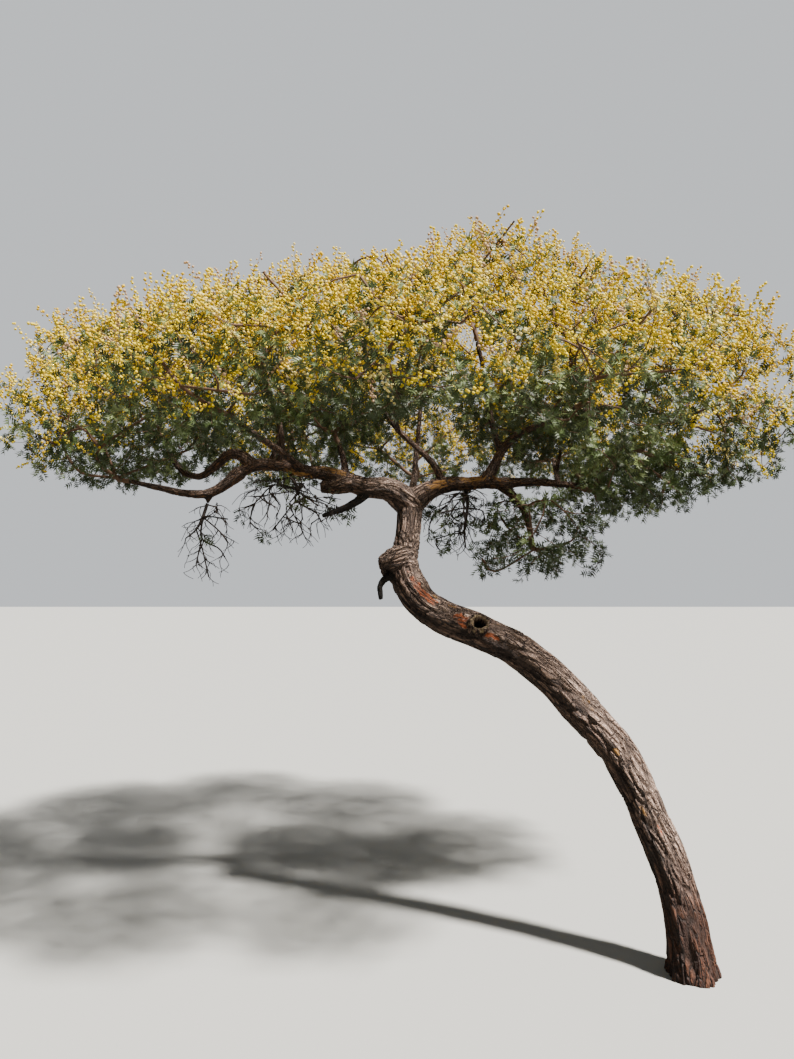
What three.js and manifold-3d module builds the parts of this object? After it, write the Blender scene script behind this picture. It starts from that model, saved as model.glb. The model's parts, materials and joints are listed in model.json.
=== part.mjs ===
// A flowering acacia: a leaning trunk bent like an S, two boughs that spread from its fork, and a flat, open
// umbrella crown that is green below and yellow with blossom above. Dead twigs hang under the boughs.
// Millimetres, +Z up. The origin is the middle of the flat cut under the trunk, at ground level.
// +X runs along the crown's width, away from the side that the trunk leans to, and +Y into its depth.

import * as THREE from 'three';
import { ConvexGeometry } from 'three/addons/geometries/ConvexGeometry.js';
import { mergeVertices } from 'three/addons/utils/BufferGeometryUtils.js';
import Module from 'manifold-3d';

const wasm = await Module();
wasm.setup();

// Driving sizes of the crown
const CROWN_WIDTH = 4050;
const CROWN_DEPTH = 3400;
const CROWN_MIDDLE = new THREE.Vector3(-1085, 900, 0);

// The crown's rounded top: its heights over the middle of the depth, each with its share of the half width
// from the crown's middle, and how much it falls for each millimetre towards the front and the back
const CROWN_TOP = [
  [-1, 2790], [-0.9, 2940], [-0.65, 3060], [-0.45, 3180], [-0.2, 3270], [0, 3290],
  [0.13, 3440], [0.42, 3360], [0.52, 3190], [0.75, 3140], [0.85, 2980], [1, 2760],
];
const FRONT_FALL = 0.42;
const BACK_FALL = 0.2;

// Gaps between neighbours
const JOINT_GAP = 0.3;
const SPACE_GAP = 6;
const LIMB_GAP = 8;

// Root flare: how much wider the foot is, how fast it fades upwards, and its number of lobes
const FLARE = 0.26;
const FLARE_HEIGHT = 110;
const FLARE_LOBES = 5;
const LOBE_DEPTH = 0.1;

// The distance between the rings of corners along a limb, and between the places where its gaps are measured
const RING_STEP = 95;
const SAMPLE_STEP = 20;

// Limbs of more than these radii are made round like the trunk, or like a bough
const TRUNK_LIKE = 60;
const BOUGH_LIKE = 30;

// How far a limb has to be clear of its parent and of its neighbours to be a solid of its own
const COLLAR_MARGIN = 5;

// The socket that a lost limb left in the trunk's knot
const KNOT_HOLE = { mouthRadius: 27, floorRadius: 18, depth: 48 };

// Where a limb carries on from its parent's very end, a knuckle a little wider than the limb fills the bend
const ELBOW_SWELL = 1.18;

// Twigs: the thinnest, the first straight stretch from a limb, and how much the way back to the limb counts
// when a twig chooses what it grows from
const TWIG_TIP_RADIUS = 5;
const STEM_LENGTH = 70;
const REACH_BALANCE = 0.35;

// A leaf spray stands for a whole shoot of feathery leaves, and a blossom spray for a shoot in bloom. Its
// root goes in past the twig's middle, and stays a little way off the twig's end. A spray is widest at its
// belly, and beyond its neck it keeps clear of other sprays by a share of their widths.
const LEAF_SPRAY = {
  length: 310, width: 160, thickness: 45, rise: 0.05, facing: new THREE.Vector3(0.3, -0.6, 0.7),
};
const BLOSSOM_SPRAY = {
  length: 230, width: 120, thickness: 100, rise: 0.4, facing: new THREE.Vector3(0.6, 0.3, 0.7),
};
const SPRAY_SINK = 1;
const TWIG_END_SHARE = 0.06;
const SPRAY_BELLY = 0.45;
const SPRAY_NECK = 0.3;
const SPRAY_ROOM = 0.8;
const SPRAY_SHRINK = [1, 0.84, 0.68, 0.54];

// The sequence of points that the twigs and sprays grow to: how far along it the next mass starts, how many
// points are tried before a mass is full, and how far out the twigs' own points lie
const SEQUENCE_STEP = 37;
const MOST_TRIES = 400;
const TWIG_REACH = 0.8;

// Each limb runs through its points, [x, y, z, radius]. It leaves its parent where the parent's line is
// nearest to the first point. A fused limb is a broken stump or a peg that is one solid with its parent.
const LIMBS = [
  { name: 'trunk', path: [
    [-4, -8, -110, 82], [-4, 12, 120, 79], [-45, 92, 377, 77], [-192, 215, 772, 76], [-345, 303, 975, 82],
    [-470, 368, 1112, 81], [-626, 437, 1233, 79], [-779, 500, 1306, 80], [-950, 575, 1374, 79],
    [-1060, 616, 1466, 81], [-1118, 650, 1595, 77], [-1100, 695, 1765, 60], [-1086, 745, 1915, 62]] },
  { name: 'trunk_burl', parent: 'trunk', fused: true, path: [
    [-1120, 655, 1622, 68], [-1180, 642, 1618, 60], [-1234, 632, 1602, 42]] },
  { name: 'trunk_stub', parent: 'trunk', fused: true, path: [
    [-1130, 640, 1570, 20], [-1200, 618, 1552, 17], [-1234, 606, 1512, 15], [-1230, 600, 1446, 12]] },
  { name: 'trunk_knot', parent: 'trunk', fused: true, path: [
    [-779, 500, 1305, 52], [-779, 450, 1333, 46], [-780, 412, 1354, 38]] },

  { name: 'bough_left', parent: 'trunk', path: [
    [-1086, 745, 1915, 54], [-1190, 745, 1988, 52], [-1310, 740, 2002, 49], [-1410, 733, 2030, 45],
    [-1490, 728, 2066, 35], [-1600, 724, 2078, 33], [-1720, 718, 2106, 32], [-1840, 708, 2110, 31],
    [-1925, 700, 2075, 29]] },
  { name: 'stump_left', parent: 'bough_left', fused: true, path: [
    [-1390, 734, 2018, 38], [-1465, 726, 2006, 38], [-1535, 720, 1998, 27]] },
  { name: 'peg_left', parent: 'bough_left', fused: true, path: [
    [-1690, 718, 2100, 13], [-1672, 716, 2045, 9]] },
  { name: 'broken_limb', parent: 'bough_left', path: [
    [-1270, 741, 1995, 23], [-1350, 728, 1932, 21], [-1435, 715, 1886, 18], [-1523, 700, 1855, 12]] },
  { name: 'bough_left_low', parent: 'bough_left', path: [
    [-1925, 700, 2075, 29], [-1992, 690, 2016, 27], [-2075, 679, 1966, 24], [-2180, 662, 1962, 20],
    [-2320, 648, 1990, 16], [-2455, 655, 2022, 13]] },
  { name: 'peg_left_end', parent: 'bough_left_low', fused: true, path: [
    [-2075, 679, 1966, 14], [-2084, 680, 1915, 9]] },
  { name: 'bough_left_high', parent: 'bough_left', path: [
    [-1870, 706, 2100, 27], [-1925, 712, 2155, 26], [-1990, 728, 2165, 25], [-2060, 765, 2115, 22],
    [-2160, 815, 2065, 19], [-2275, 860, 2115, 16], [-2355, 870, 2270, 14], [-2400, 870, 2440, 12]] },
  { name: 'limb_left_front', parent: 'bough_left', path: [
    [-1630, 723, 2084, 20], [-1690, 610, 2140, 19], [-1785, 410, 2195, 16], [-1860, 240, 2240, 13]] },
  { name: 'limb_left_rise', parent: 'bough_left', path: [
    [-1735, 717, 2107, 19], [-1722, 700, 2200, 17], [-1742, 680, 2336, 15], [-1790, 600, 2480, 13]] },
  { name: 'limb_left_back', parent: 'bough_left', path: [
    [-1800, 711, 2110, 22], [-1812, 850, 2140, 20], [-1832, 1100, 2175, 17], [-1850, 1350, 2220, 14]] },
  { name: 'limb_left_back_high', parent: 'limb_left_back', path: [
    [-1825, 1030, 2165, 16], [-1802, 1130, 2340, 15], [-1770, 1260, 2620, 12]] },
  { name: 'limb_low_middle', parent: 'bough_left', path: [
    [-1405, 733, 2028, 19], [-1420, 760, 2130, 17], [-1450, 790, 2230, 13]] },

  { name: 'limb_back', parent: 'trunk', path: [
    [-1092, 718, 1845, 32], [-1078, 870, 1960, 28], [-1065, 1120, 2060, 22], [-1050, 1450, 2160, 17],
    [-1040, 1740, 2260, 14]] },
  { name: 'limb_back_high', parent: 'limb_back', path: [
    [-1060, 1250, 2100, 18], [-1040, 1330, 2300, 16], [-1000, 1480, 2700, 12]] },

  { name: 'bough_right', parent: 'trunk', path: [
    [-1086, 745, 1915, 48], [-1030, 758, 1966, 45], [-955, 765, 2004, 42], [-877, 770, 2020, 38],
    [-800, 772, 2022, 35], [-710, 772, 2030, 33], [-636, 772, 2022, 29]] },
  { name: 'peg_right', parent: 'bough_right', fused: true, path: [
    [-800, 770, 2022, 14], [-806, 764, 1968, 9]] },
  { name: 'limb_middle', parent: 'bough_right', path: [
    [-925, 767, 2010, 20], [-950, 770, 2090, 19], [-1010, 774, 2165, 17], [-1150, 790, 2300, 15],
    [-1225, 800, 2410, 13], [-1280, 812, 2560, 12], [-1305, 818, 2690, 11]] },
  { name: 'limb_middle_front', parent: 'limb_middle', path: [
    [-1150, 790, 2300, 14], [-1162, 600, 2332, 13], [-1150, 330, 2352, 11], [-1145, 160, 2372, 10]] },
  { name: 'limb_front_high', parent: 'limb_middle_front', path: [
    [-1158, 520, 2340, 12], [-1120, 400, 2440, 11], [-1080, 250, 2610, 10]] },
  { name: 'bough_right_hang', parent: 'bough_right', path: [
    [-636, 772, 2022, 23], [-570, 770, 1962, 20], [-527, 768, 1902, 18], [-502, 765, 1830, 16],
    [-485, 762, 1760, 14]] },
  { name: 'bough_right_outer', parent: 'bough_right', path: [
    [-636, 772, 2022, 26], [-530, 778, 2032, 24], [-400, 786, 2030, 21], [-230, 793, 2012, 17]] },
  { name: 'limb_right_back', parent: 'bough_right_outer', path: [
    [-350, 788, 2026, 17], [-315, 940, 2075, 16], [-275, 1180, 2155, 14], [-245, 1380, 2220, 12]] },
  { name: 'limb_right_back_high', parent: 'limb_right_back', path: [
    [-290, 1080, 2125, 13], [-250, 1160, 2260, 12], [-190, 1300, 2560, 10]] },
  { name: 'bough_right_rise', parent: 'bough_right', path: [
    [-705, 772, 2029, 27], [-665, 775, 2110, 25], [-619, 775, 2200, 23], [-542, 780, 2270, 21],
    [-403, 790, 2325, 18], [-315, 800, 2370, 16], [-262, 805, 2500, 14], [-262, 815, 2690, 12]] },
  { name: 'limb_peak', parent: 'bough_right_rise', path: [
    [-632, 775, 2180, 17], [-672, 778, 2320, 16], [-692, 782, 2460, 15], [-718, 790, 2634, 13],
    [-745, 800, 2760, 12]] },
  { name: 'limb_right_front', parent: 'bough_right_rise', path: [
    [-600, 776, 2222, 16], [-540, 630, 2262, 15], [-430, 400, 2280, 13], [-370, 240, 2300, 11]] },
  { name: 'limb_right_middle', parent: 'bough_right_rise', path: [
    [-470, 786, 2300, 15], [-440, 700, 2318, 13], [-425, 620, 2338, 11]] },
  { name: 'limb_droop', parent: 'bough_right_rise', path: [
    [-345, 796, 2350, 16], [-210, 808, 2398, 15], [0, 812, 2425, 13], [120, 815, 2412, 12],
    [210, 818, 2378, 11]] },
  { name: 'limb_right_end', parent: 'limb_droop', path: [
    [0, 812, 2425, 12], [90, 822, 2490, 11], [200, 830, 2545, 11]] },
];

// Each mass keeps to an ellipsoid under the crown's top. Its middle is told as shares of the crown's half
// width and half depth and a height, and its radii in millimetres. Its stem goes on from the tip of its limb.
const MASSES = [
  { name: 'low_left_end', limb: 'bough_left_low', kind: 'leafy',
    middle: [-0.73, -0.06, 2320], radii: [660, 690, 340] },
  { name: 'low_left_front', limb: 'limb_left_front', kind: 'leafy',
    middle: [-0.43, -0.53, 2420], radii: [580, 600, 330] },
  { name: 'low_left_back', limb: 'limb_left_back', kind: 'leafy',
    middle: [-0.38, 0.49, 2430], radii: [630, 650, 350] },
  { name: 'low_middle', limb: 'limb_low_middle', kind: 'leafy',
    middle: [-0.195, -0.03, 2460], radii: [430, 520, 270] },
  { name: 'low_middle_front', limb: 'limb_middle_front', kind: 'leafy',
    middle: [-0.02, -0.63, 2460], radii: [540, 530, 320] },
  { name: 'low_middle_back', limb: 'limb_back', kind: 'leafy',
    middle: [0.03, 0.72, 2460], radii: [630, 560, 340] },
  { name: 'low_right_front', limb: 'limb_right_front', kind: 'leafy',
    middle: [0.4, -0.55, 2430], radii: [580, 600, 350] },
  { name: 'low_right_back', limb: 'limb_right_back', kind: 'leafy',
    middle: [0.437, 0.52, 2420], radii: [630, 650, 350] },
  { name: 'low_right_middle', limb: 'limb_right_middle', kind: 'leafy',
    middle: [0.323, -0.03, 2440], radii: [480, 520, 280] },
  { name: 'low_right_outer', limb: 'bough_right_outer', kind: 'leafy',
    middle: [0.546, -0.07, 2070], radii: [480, 500, 230] },
  { name: 'low_right_end', limb: 'limb_droop', kind: 'leafy',
    middle: [0.765, 0.03, 2320], radii: [580, 690, 340] },
  { name: 'hanging_right', limb: 'bough_right_hang', kind: 'leafy',
    middle: [0.29, -0.094, 1755], radii: [510, 480, 245] },
  { name: 'bloom_left_end', limb: 'bough_left_high', kind: 'bloom',
    middle: [-0.705, -0.03, 2720], radii: [650, 710, 330] },
  { name: 'bloom_left_front', limb: 'limb_left_rise', kind: 'bloom',
    middle: [-0.388, -0.3, 2765], radii: [540, 600, 330] },
  { name: 'bloom_left_back', limb: 'limb_left_back_high', kind: 'bloom',
    middle: [-0.345, 0.33, 2850], radii: [620, 650, 320] },
  { name: 'bloom_middle', limb: 'limb_middle', kind: 'bloom',
    middle: [-0.121, -0.03, 2960], radii: [460, 560, 310] },
  { name: 'bloom_front', limb: 'limb_front_high', kind: 'bloom',
    middle: [0.05, -0.45, 2850], radii: [560, 540, 330] },
  { name: 'bloom_back', limb: 'limb_back_high', kind: 'bloom',
    middle: [0.055, 0.47, 2950], radii: [600, 600, 340] },
  { name: 'bloom_peak', limb: 'limb_peak', kind: 'bloom',
    middle: [0.131, 0.06, 3070], radii: [460, 480, 400] },
  { name: 'bloom_right', limb: 'bough_right_rise', kind: 'bloom',
    middle: [0.42, -0.06, 2950], radii: [520, 560, 350] },
  { name: 'bloom_right_back', limb: 'limb_right_back_high', kind: 'bloom',
    middle: [0.47, 0.36, 2860], radii: [580, 580, 330] },
  { name: 'bloom_right_end', limb: 'limb_right_end', kind: 'bloom',
    middle: [0.745, -0.06, 2760], radii: [590, 650, 340] },
  { name: 'dead_twigs_left_end', limb: 'peg_left_end', kind: 'bare',
    middle: [-0.49, -0.124, 1725], radii: [165, 190, 235] },
  { name: 'dead_twigs_left', limb: 'peg_left', kind: 'bare',
    middle: [-0.29, -0.118, 1880], radii: [310, 250, 200] },
  { name: 'dead_twigs_right', limb: 'peg_right', kind: 'bare',
    middle: [0.126, -0.088, 1815], radii: [230, 240, 205] },
];

// What each kind of mass grows: points that its twigs reach for, sprays for each square metre that its two
// level radii span, and the height from which they are in bloom, as a share of the mass's upright radius
const COUNTS = {
  leafy: { points: 9, sprays: 53, bloomsAbove: 0.75 },
  bloom: { points: 9, sprays: 57, bloomsAbove: -0.3 },
  bare: { points: 12, sprays: 0, bloomsAbove: 1 },
};

const COLOURS = {
  bark: new THREE.Color(0.3, 0.21, 0.16),
  dead: new THREE.Color(0.2, 0.16, 0.13),
  leafy: new THREE.Color(0.22, 0.3, 0.17),
  bloom: new THREE.Color(0.66, 0.5, 0.14),
};

// Solids

function solidOf(geometry) {
  const shape = geometry.clone();
  shape.deleteAttribute('normal');
  shape.deleteAttribute('uv');
  const merged = mergeVertices(shape, 1e-4);
  return new wasm.Manifold(new wasm.Mesh({
    numProp: 3,
    vertProperties: new Float32Array(merged.attributes.position.array),
    triVerts: new Uint32Array(merged.index.array),
  }));
}

function geometryOf(solid) {
  const mesh = solid.getMesh();
  const geometry = new THREE.BufferGeometry();
  geometry.setAttribute('position', new THREE.BufferAttribute(mesh.vertProperties, 3));
  geometry.setIndex(new THREE.BufferAttribute(mesh.triVerts, 1));
  geometry.computeVertexNormals();
  return geometry;
}

// The largest connected piece, with loose scraps dropped and sealed hollows filled
function wholePiece(solids) {
  const pieces = wasm.Manifold.union(solids).decompose();
  return pieces.reduce((best, piece) => (piece.volume() > best.volume() ? piece : best));
}

// A closed solid through rings of corners, each ring a list of the same number of points
function loft(rings) {
  const sides = rings[0].length;
  const positions = rings.flat().flatMap((corner) => corner.toArray());
  const faces = [];
  for (let ring = 0; ring + 1 < rings.length; ring += 1) {
    for (let side = 0; side < sides; side += 1) {
      const a = ring * sides + side;
      const b = ring * sides + ((side + 1) % sides);
      faces.push(a, b, b + sides, a, b + sides, a + sides);
    }
  }
  const last = (rings.length - 1) * sides;
  for (let side = 1; side + 1 < sides; side += 1) {
    faces.push(0, side + 1, side);
    faces.push(last, last + side, last + side + 1);
  }
  const geometry = new THREE.BufferGeometry();
  geometry.setAttribute('position', new THREE.Float32BufferAttribute(positions, 3));
  geometry.setIndex(faces);
  return solidOf(geometry);
}

// The convex solid round some corners
function hull(corners) {
  return solidOf(new ConvexGeometry(corners));
}

// The corners of a ring round a point, square to a direction. side is carried from ring to ring, so that the
// rings don't twist.
function ringCorners(centre, direction, side, sides, radiusAt) {
  side.addScaledVector(direction, -side.dot(direction)).normalize();
  const up = direction.clone().cross(side);
  return Array.from({ length: sides }, (_, i) => {
    const angle = (2 * Math.PI * i) / sides;
    const radius = radiusAt(angle);
    return centre.clone()
      .addScaledVector(side, radius * Math.cos(angle))
      .addScaledVector(up, radius * Math.sin(angle));
  });
}

function anySideOf(direction) {
  return Math.abs(direction.x) < 0.7 ? new THREE.Vector3(1, 0, 0) : new THREE.Vector3(0, 0, 1);
}

// Limbs

class Limb {
  constructor({ name, parent, fused, path }, parentLimb) {
    this.name = name;
    this.parent = parent;
    this.fused = Boolean(fused);
    const points = path.map(([x, y, z]) => new THREE.Vector3(x, y, z));
    if (parentLimb) points[0] = parentLimb.nearest(points[0]);
    this.curve = new THREE.CatmullRomCurve3(points, false, 'catmullrom', 0.5);
    this.radii = path.map((point) => point[3]);
    this.length = this.curve.getLength();
    const count = Math.ceil(this.length / SAMPLE_STEP) + 1;
    this.samples = Array.from({ length: count }, (_, i) => {
      const share = i / (count - 1);
      return { share, point: this.curve.getPointAt(share), radius: this.radiusAt(share) };
    });
  }

  radiusAt(share) {
    const place = this.curve.getUtoTmapping(share) * (this.radii.length - 1);
    const first = Math.min(Math.floor(place), this.radii.length - 2);
    return THREE.MathUtils.lerp(this.radii[first], this.radii[first + 1], place - first);
  }

  nearest(point) {
    return this.samples.reduce((best, sample) => (
      sample.point.distanceTo(point) < best.distanceTo(point) ? sample.point : best
    ), this.samples[0].point).clone();
  }

  // The smallest distance from a segment to the limb's surface, seen as a chain of balls and its links
  gapTo(start, end) {
    const line = new THREE.Line3(start, end);
    const closest = new THREE.Vector3();
    return Math.min(...this.samples.map(({ point, radius }) => (
      line.closestPointToPoint(point, true, closest).distanceTo(point) - radius
    )));
  }

  // Thick limbs are rounder than thin ones
  sides() {
    const widest = Math.max(...this.radii);
    if (widest > TRUNK_LIKE) return 12;
    return widest > BOUGH_LIKE ? 8 : 5;
  }

  // The solid from one share of the limb's length to another
  tube(from, to, swell = () => 1) {
    const reach = (to - from) * this.length;
    const sides = this.sides();
    const steps = Math.max(1, Math.round(reach / RING_STEP));
    const side = anySideOf(this.curve.getTangentAt(0));
    const rings = Array.from({ length: steps + 1 }, (_, i) => {
      const share = THREE.MathUtils.lerp(from, to, i / steps);
      const centre = this.curve.getPointAt(share);
      const direction = this.curve.getTangentAt(share);
      const radius = this.radiusAt(share);
      return ringCorners(centre, direction, side, sides, (angle) => radius * swell(centre, angle));
    });
    return loft(rings);
  }
}

const limbs = new Map();
for (const data of LIMBS) limbs.set(data.name, new Limb(data, limbs.get(data.parent)));
const limbList = [...limbs.values()];

// A limb starts where it is clear of its parent and of the limbs that leave the same parent. What is nearer
// belongs to the parent, as its branch collar.
for (const limb of limbList) {
  const near = limbList.filter((other) => other !== limb && !other.fused
    && (other.name === limb.parent || (limb.parent && other.parent === limb.parent)));
  const touching = limb.samples.filter(({ point, radius }) => (
    near.some((other) => other.gapTo(point, point) < radius + COLLAR_MARGIN)
  ));
  limb.collarEnd = limb.fused || !touching.length ? 0 : touching[touching.length - 1].share;
}

// The foot is wider and lobed, and the swelling fades with height
function rootFlare(centre, angle) {
  const fade = Math.exp(-Math.max(centre.z, 0) / FLARE_HEIGHT);
  return 1 + fade * (FLARE + LOBE_DEPTH * Math.cos(FLARE_LOBES * angle));
}

// What is cut out of the knot. It stands proud of the knot's face, so that the cut is clean.
function knotHole(knot) {
  const proud = 4;
  const height = KNOT_HOLE.depth + proud;
  const hole = new THREE.CylinderGeometry(KNOT_HOLE.mouthRadius, KNOT_HOLE.floorRadius, height, 10);
  const direction = knot.curve.getTangentAt(1);
  hole.applyQuaternion(new THREE.Quaternion().setFromUnitVectors(new THREE.Vector3(0, 1, 0), direction));
  hole.translate(...knot.curve.getPointAt(1).addScaledVector(direction, proud - height / 2).toArray());
  return solidOf(hole);
}

function limbSolid(limb) {
  const gap = limb.parent ? JOINT_GAP / limb.length : 0;
  const parts = [limb.tube(limb.collarEnd + gap, 1, limb.parent ? undefined : rootFlare)];
  const tip = limb.curve.getPointAt(1);
  for (const child of limbList.filter((other) => other.parent === limb.name)) {
    parts.push(child.fused ? child.tube(0, 1) : child.tube(0, child.collarEnd));
    if (child.samples[0].point.distanceTo(tip) > child.radii[0]) continue;
    const elbow = new THREE.IcosahedronGeometry(child.radii[0] * ELBOW_SWELL, 0);
    elbow.translate(...child.samples[0].point.toArray());
    parts.push(solidOf(elbow));
  }
  const whole = wholePiece(parts);
  if (limb.parent) return whole;
  return whole.trimByPlane([0, 0, 1], 0).subtract(knotHole(limbs.get('trunk_knot')));
}

// Masses

// The index-th number of an evenly spreading sequence in a base
function spread(index, base) {
  let result = 0;
  for (let rest = index, share = 1 / base; rest > 0; rest = Math.floor(rest / base), share /= base) {
    result += share * (rest % base);
  }
  return result;
}

// How high the crown's rounded top lies at a point's place
function crownTop(point) {
  const across = THREE.MathUtils.clamp((2 * (point.x - CROWN_MIDDLE.x)) / CROWN_WIDTH, -1, 1);
  const end = Math.max(1, CROWN_TOP.findIndex(([place]) => place >= across));
  const [startPlace, startHeight] = CROWN_TOP[end - 1];
  const [endPlace, endHeight] = CROWN_TOP[end];
  const height = THREE.MathUtils.mapLinear(across, startPlace, endPlace, startHeight, endHeight);
  const depth = point.y - CROWN_MIDDLE.y;
  return height - Math.abs(depth) * (depth < 0 ? FRONT_FALL : BACK_FALL);
}

class Mass {
  constructor(data, index) {
    this.name = data.name;
    this.kind = data.kind;
    const [acrossShare, depthShare, height] = data.middle;
    this.middle = new THREE.Vector3(
      CROWN_MIDDLE.x + (acrossShare * CROWN_WIDTH) / 2,
      CROWN_MIDDLE.y + (depthShare * CROWN_DEPTH) / 2,
      height,
    );
    this.radii = new THREE.Vector3(...data.radii);
    this.index = SEQUENCE_STEP * index;
    this.walls = [];
    this.taken = [];
    const limb = limbs.get(data.limb);
    const direction = limb.curve.getTangentAt(1);
    this.foot = limb.curve.getPointAt(1).addScaledVector(direction, JOINT_GAP);
    this.stemTop = this.foot.clone().addScaledVector(direction, STEM_LENGTH);
    this.stemRadius = limb.radiusAt(1);
  }

  // The next of a sequence of points that fill the space evenly, out to a share of its radii
  nextPoint(outTo) {
    for (let tries = 0; tries < MOST_TRIES; tries += 1) {
      this.index += 1;
      const height = 2 * spread(this.index, 3) - 1;
      const angle = 2 * Math.PI * spread(this.index, 2);
      const flat = Math.sqrt(1 - height * height);
      const point = new THREE.Vector3(flat * Math.cos(angle), flat * Math.sin(angle), height)
        .multiplyScalar(outTo * Math.cbrt(spread(this.index, 5))).multiply(this.radii).add(this.middle);
      if (this.holds(point) && this.clear(point, point, 2 * LIMB_GAP)) return point;
    }
    return null;
  }

  // How far the ellipsoid reaches from its middle along a direction
  reach(direction) {
    return direction.clone().multiply(this.radii).length();
  }

  holds(point) {
    const share = point.clone().sub(this.middle).divide(this.radii);
    return share.lengthSq() <= 1 && point.z <= crownTop(point)
      && this.walls.every((wall) => wall.distanceToPoint(point) <= 0);
  }

  clear(start, end, radius) {
    return limbList.every((limb) => limb.gapTo(start, end) > radius + LIMB_GAP)
      && masses.every((other) => other === this || other.stemGap(start, end) > radius + LIMB_GAP);
  }

  stemGap(start, end) {
    const line = new THREE.Line3(start, end);
    const steps = [0, 0.25, 0.5, 0.75, 1];
    return Math.min(...steps.map((share) => {
      const point = this.foot.clone().lerp(this.stemTop, share);
      return line.closestPointToPoint(point, true, new THREE.Vector3()).distanceTo(point);
    })) - this.stemRadius;
  }
}

const masses = MASSES.map((data, index) => new Mass(data, index));

// Two masses that would meet share a flat wall, which divides the way between their middles by their reach
masses.forEach((one, index) => masses.slice(index + 1).forEach((other) => {
  const direction = other.middle.clone().sub(one.middle);
  const distance = direction.length();
  direction.divideScalar(distance);
  const share = one.reach(direction) / (one.reach(direction) + other.reach(direction));
  const wallPoint = one.middle.clone().addScaledVector(direction, distance * share);
  const back = direction.clone().negate();
  one.walls.push(new THREE.Plane().setFromNormalAndCoplanarPoint(
    direction, wallPoint.clone().addScaledVector(back, SPACE_GAP / 2)));
  other.walls.push(new THREE.Plane().setFromNormalAndCoplanarPoint(
    back, wallPoint.clone().addScaledVector(direction, SPACE_GAP / 2)));
}));

// Twigs grow from the stem to the points. Each step joins the point that is cheapest to reach, by the length
// of the new twig and a share of the way back along the twigs to the stem.
function growTwigs(mass) {
  const nodes = [{ point: mass.foot, way: 0 }, { point: mass.stemTop, parent: 0, way: STEM_LENGTH }];
  const waiting = Array.from({ length: COUNTS[mass.kind].points }, () => mass.nextPoint(TWIG_REACH));
  while (waiting.length) {
    let best = null;
    waiting.forEach((point, place) => nodes.forEach((node, parent) => {
      if (parent === 0) return;
      const length = node.point.distanceTo(point);
      const cost = length + REACH_BALANCE * node.way;
      if (best && cost >= best.cost) return;
      if (!mass.clear(node.point, point, 2 * TWIG_TIP_RADIUS)) return;
      best = { cost, place, parent, point, length };
    }));
    if (!best) break;
    nodes.push({ point: best.point, parent: best.parent, way: nodes[best.parent].way + best.length });
    waiting.splice(best.place, 1);
  }
  thickenTwigs(nodes, mass.stemRadius);
  return nodes;
}

// Each twig is as thick as the number of tips that it carries asks for
function thickenTwigs(nodes, stemRadius) {
  nodes.forEach((node, index) => {
    node.children = nodes.flatMap((other, place) => (other.parent === index ? [place] : []));
  });
  for (let index = nodes.length - 1; index >= 0; index -= 1) {
    const { children } = nodes[index];
    nodes[index].tips = Math.max(1, children.reduce((sum, child) => sum + nodes[child].tips, 0));
    children.sort((a, b) => nodes[b].tips - nodes[a].tips);
  }
  nodes.forEach((node) => {
    node.radius = Math.max(TWIG_TIP_RADIUS, stemRadius * Math.sqrt(node.tips / nodes[0].tips));
  });
}

// Twigs as three-sided tubes. Each tube follows the child with the most tips, and the others start new ones.
function twigSolids(mass, nodes) {
  const solids = [];
  const starts = [[0, nodes[0].children[0]]];
  while (starts.length) {
    const chain = starts.pop();
    while (nodes[chain[chain.length - 1]].children.length) {
      const [next, ...others] = nodes[chain[chain.length - 1]].children;
      others.forEach((other) => starts.push([chain[chain.length - 1], other]));
      chain.push(next);
    }
    chain.slice(2).forEach((index, place) => mass.taken.push({
      line: new THREE.Line3(nodes[chain[place + 1]].point, nodes[index].point),
      radius: nodes[index].radius,
    }));
    const points = chain.map((index) => nodes[index].point);
    const radii = chain.map((index) => nodes[index].radius);
    radii[0] = chain[0] === 0 ? nodes[0].radius : radii[1];
    const sides = chain[0] === 0 ? 5 : 3;
    const side = anySideOf(points[1].clone().sub(points[0]).normalize());
    solids.push(loft(points.map((point, place) => {
      const before = points[Math.max(place - 1, 0)];
      const after = points[Math.min(place + 1, points.length - 1)];
      const direction = place === 0 ? points[1].clone().sub(point) : after.clone().sub(before);
      return ringCorners(point, direction.normalize(), side, sides, () => radii[place]);
    })));
  }
  return solids;
}

// A spray from its root, sunk into the twig, to its tip. It is widest at its belly, with a ridge along one
// side.
class Spray {
  constructor(place, target, size, scale) {
    const direction = target.clone().sub(place).normalize();
    direction.z += size.rise;
    direction.normalize();
    const across = direction.clone().cross(size.facing).normalize();
    const normal = across.clone().cross(direction).normalize();
    this.root = place.clone().addScaledVector(direction, -SPRAY_SINK);
    this.tip = place.clone().addScaledVector(direction, size.length * scale);
    this.radius = (size.width * scale) / 2;
    this.line = new THREE.Line3(this.root.clone().lerp(this.tip, SPRAY_NECK), this.tip);
    const middle = this.root.clone().lerp(this.tip, SPRAY_BELLY);
    this.belly = [
      middle.clone().addScaledVector(across, this.radius),
      middle.clone().addScaledVector(across, -this.radius),
      middle.clone().addScaledVector(normal, size.thickness * scale),
    ];
  }

  fits(mass) {
    return [this.tip, ...this.belly].every((corner) => mass.holds(corner))
      && mass.clear(this.root, this.tip, this.radius)
      && mass.taken.every((other) => (
        Math.sqrt(this.line.distanceSqToLine3(other.line)) > SPRAY_ROOM * (this.radius + other.radius)
      ));
  }

  solid() {
    return hull([this.root, this.tip, ...this.belly]);
  }
}

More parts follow.
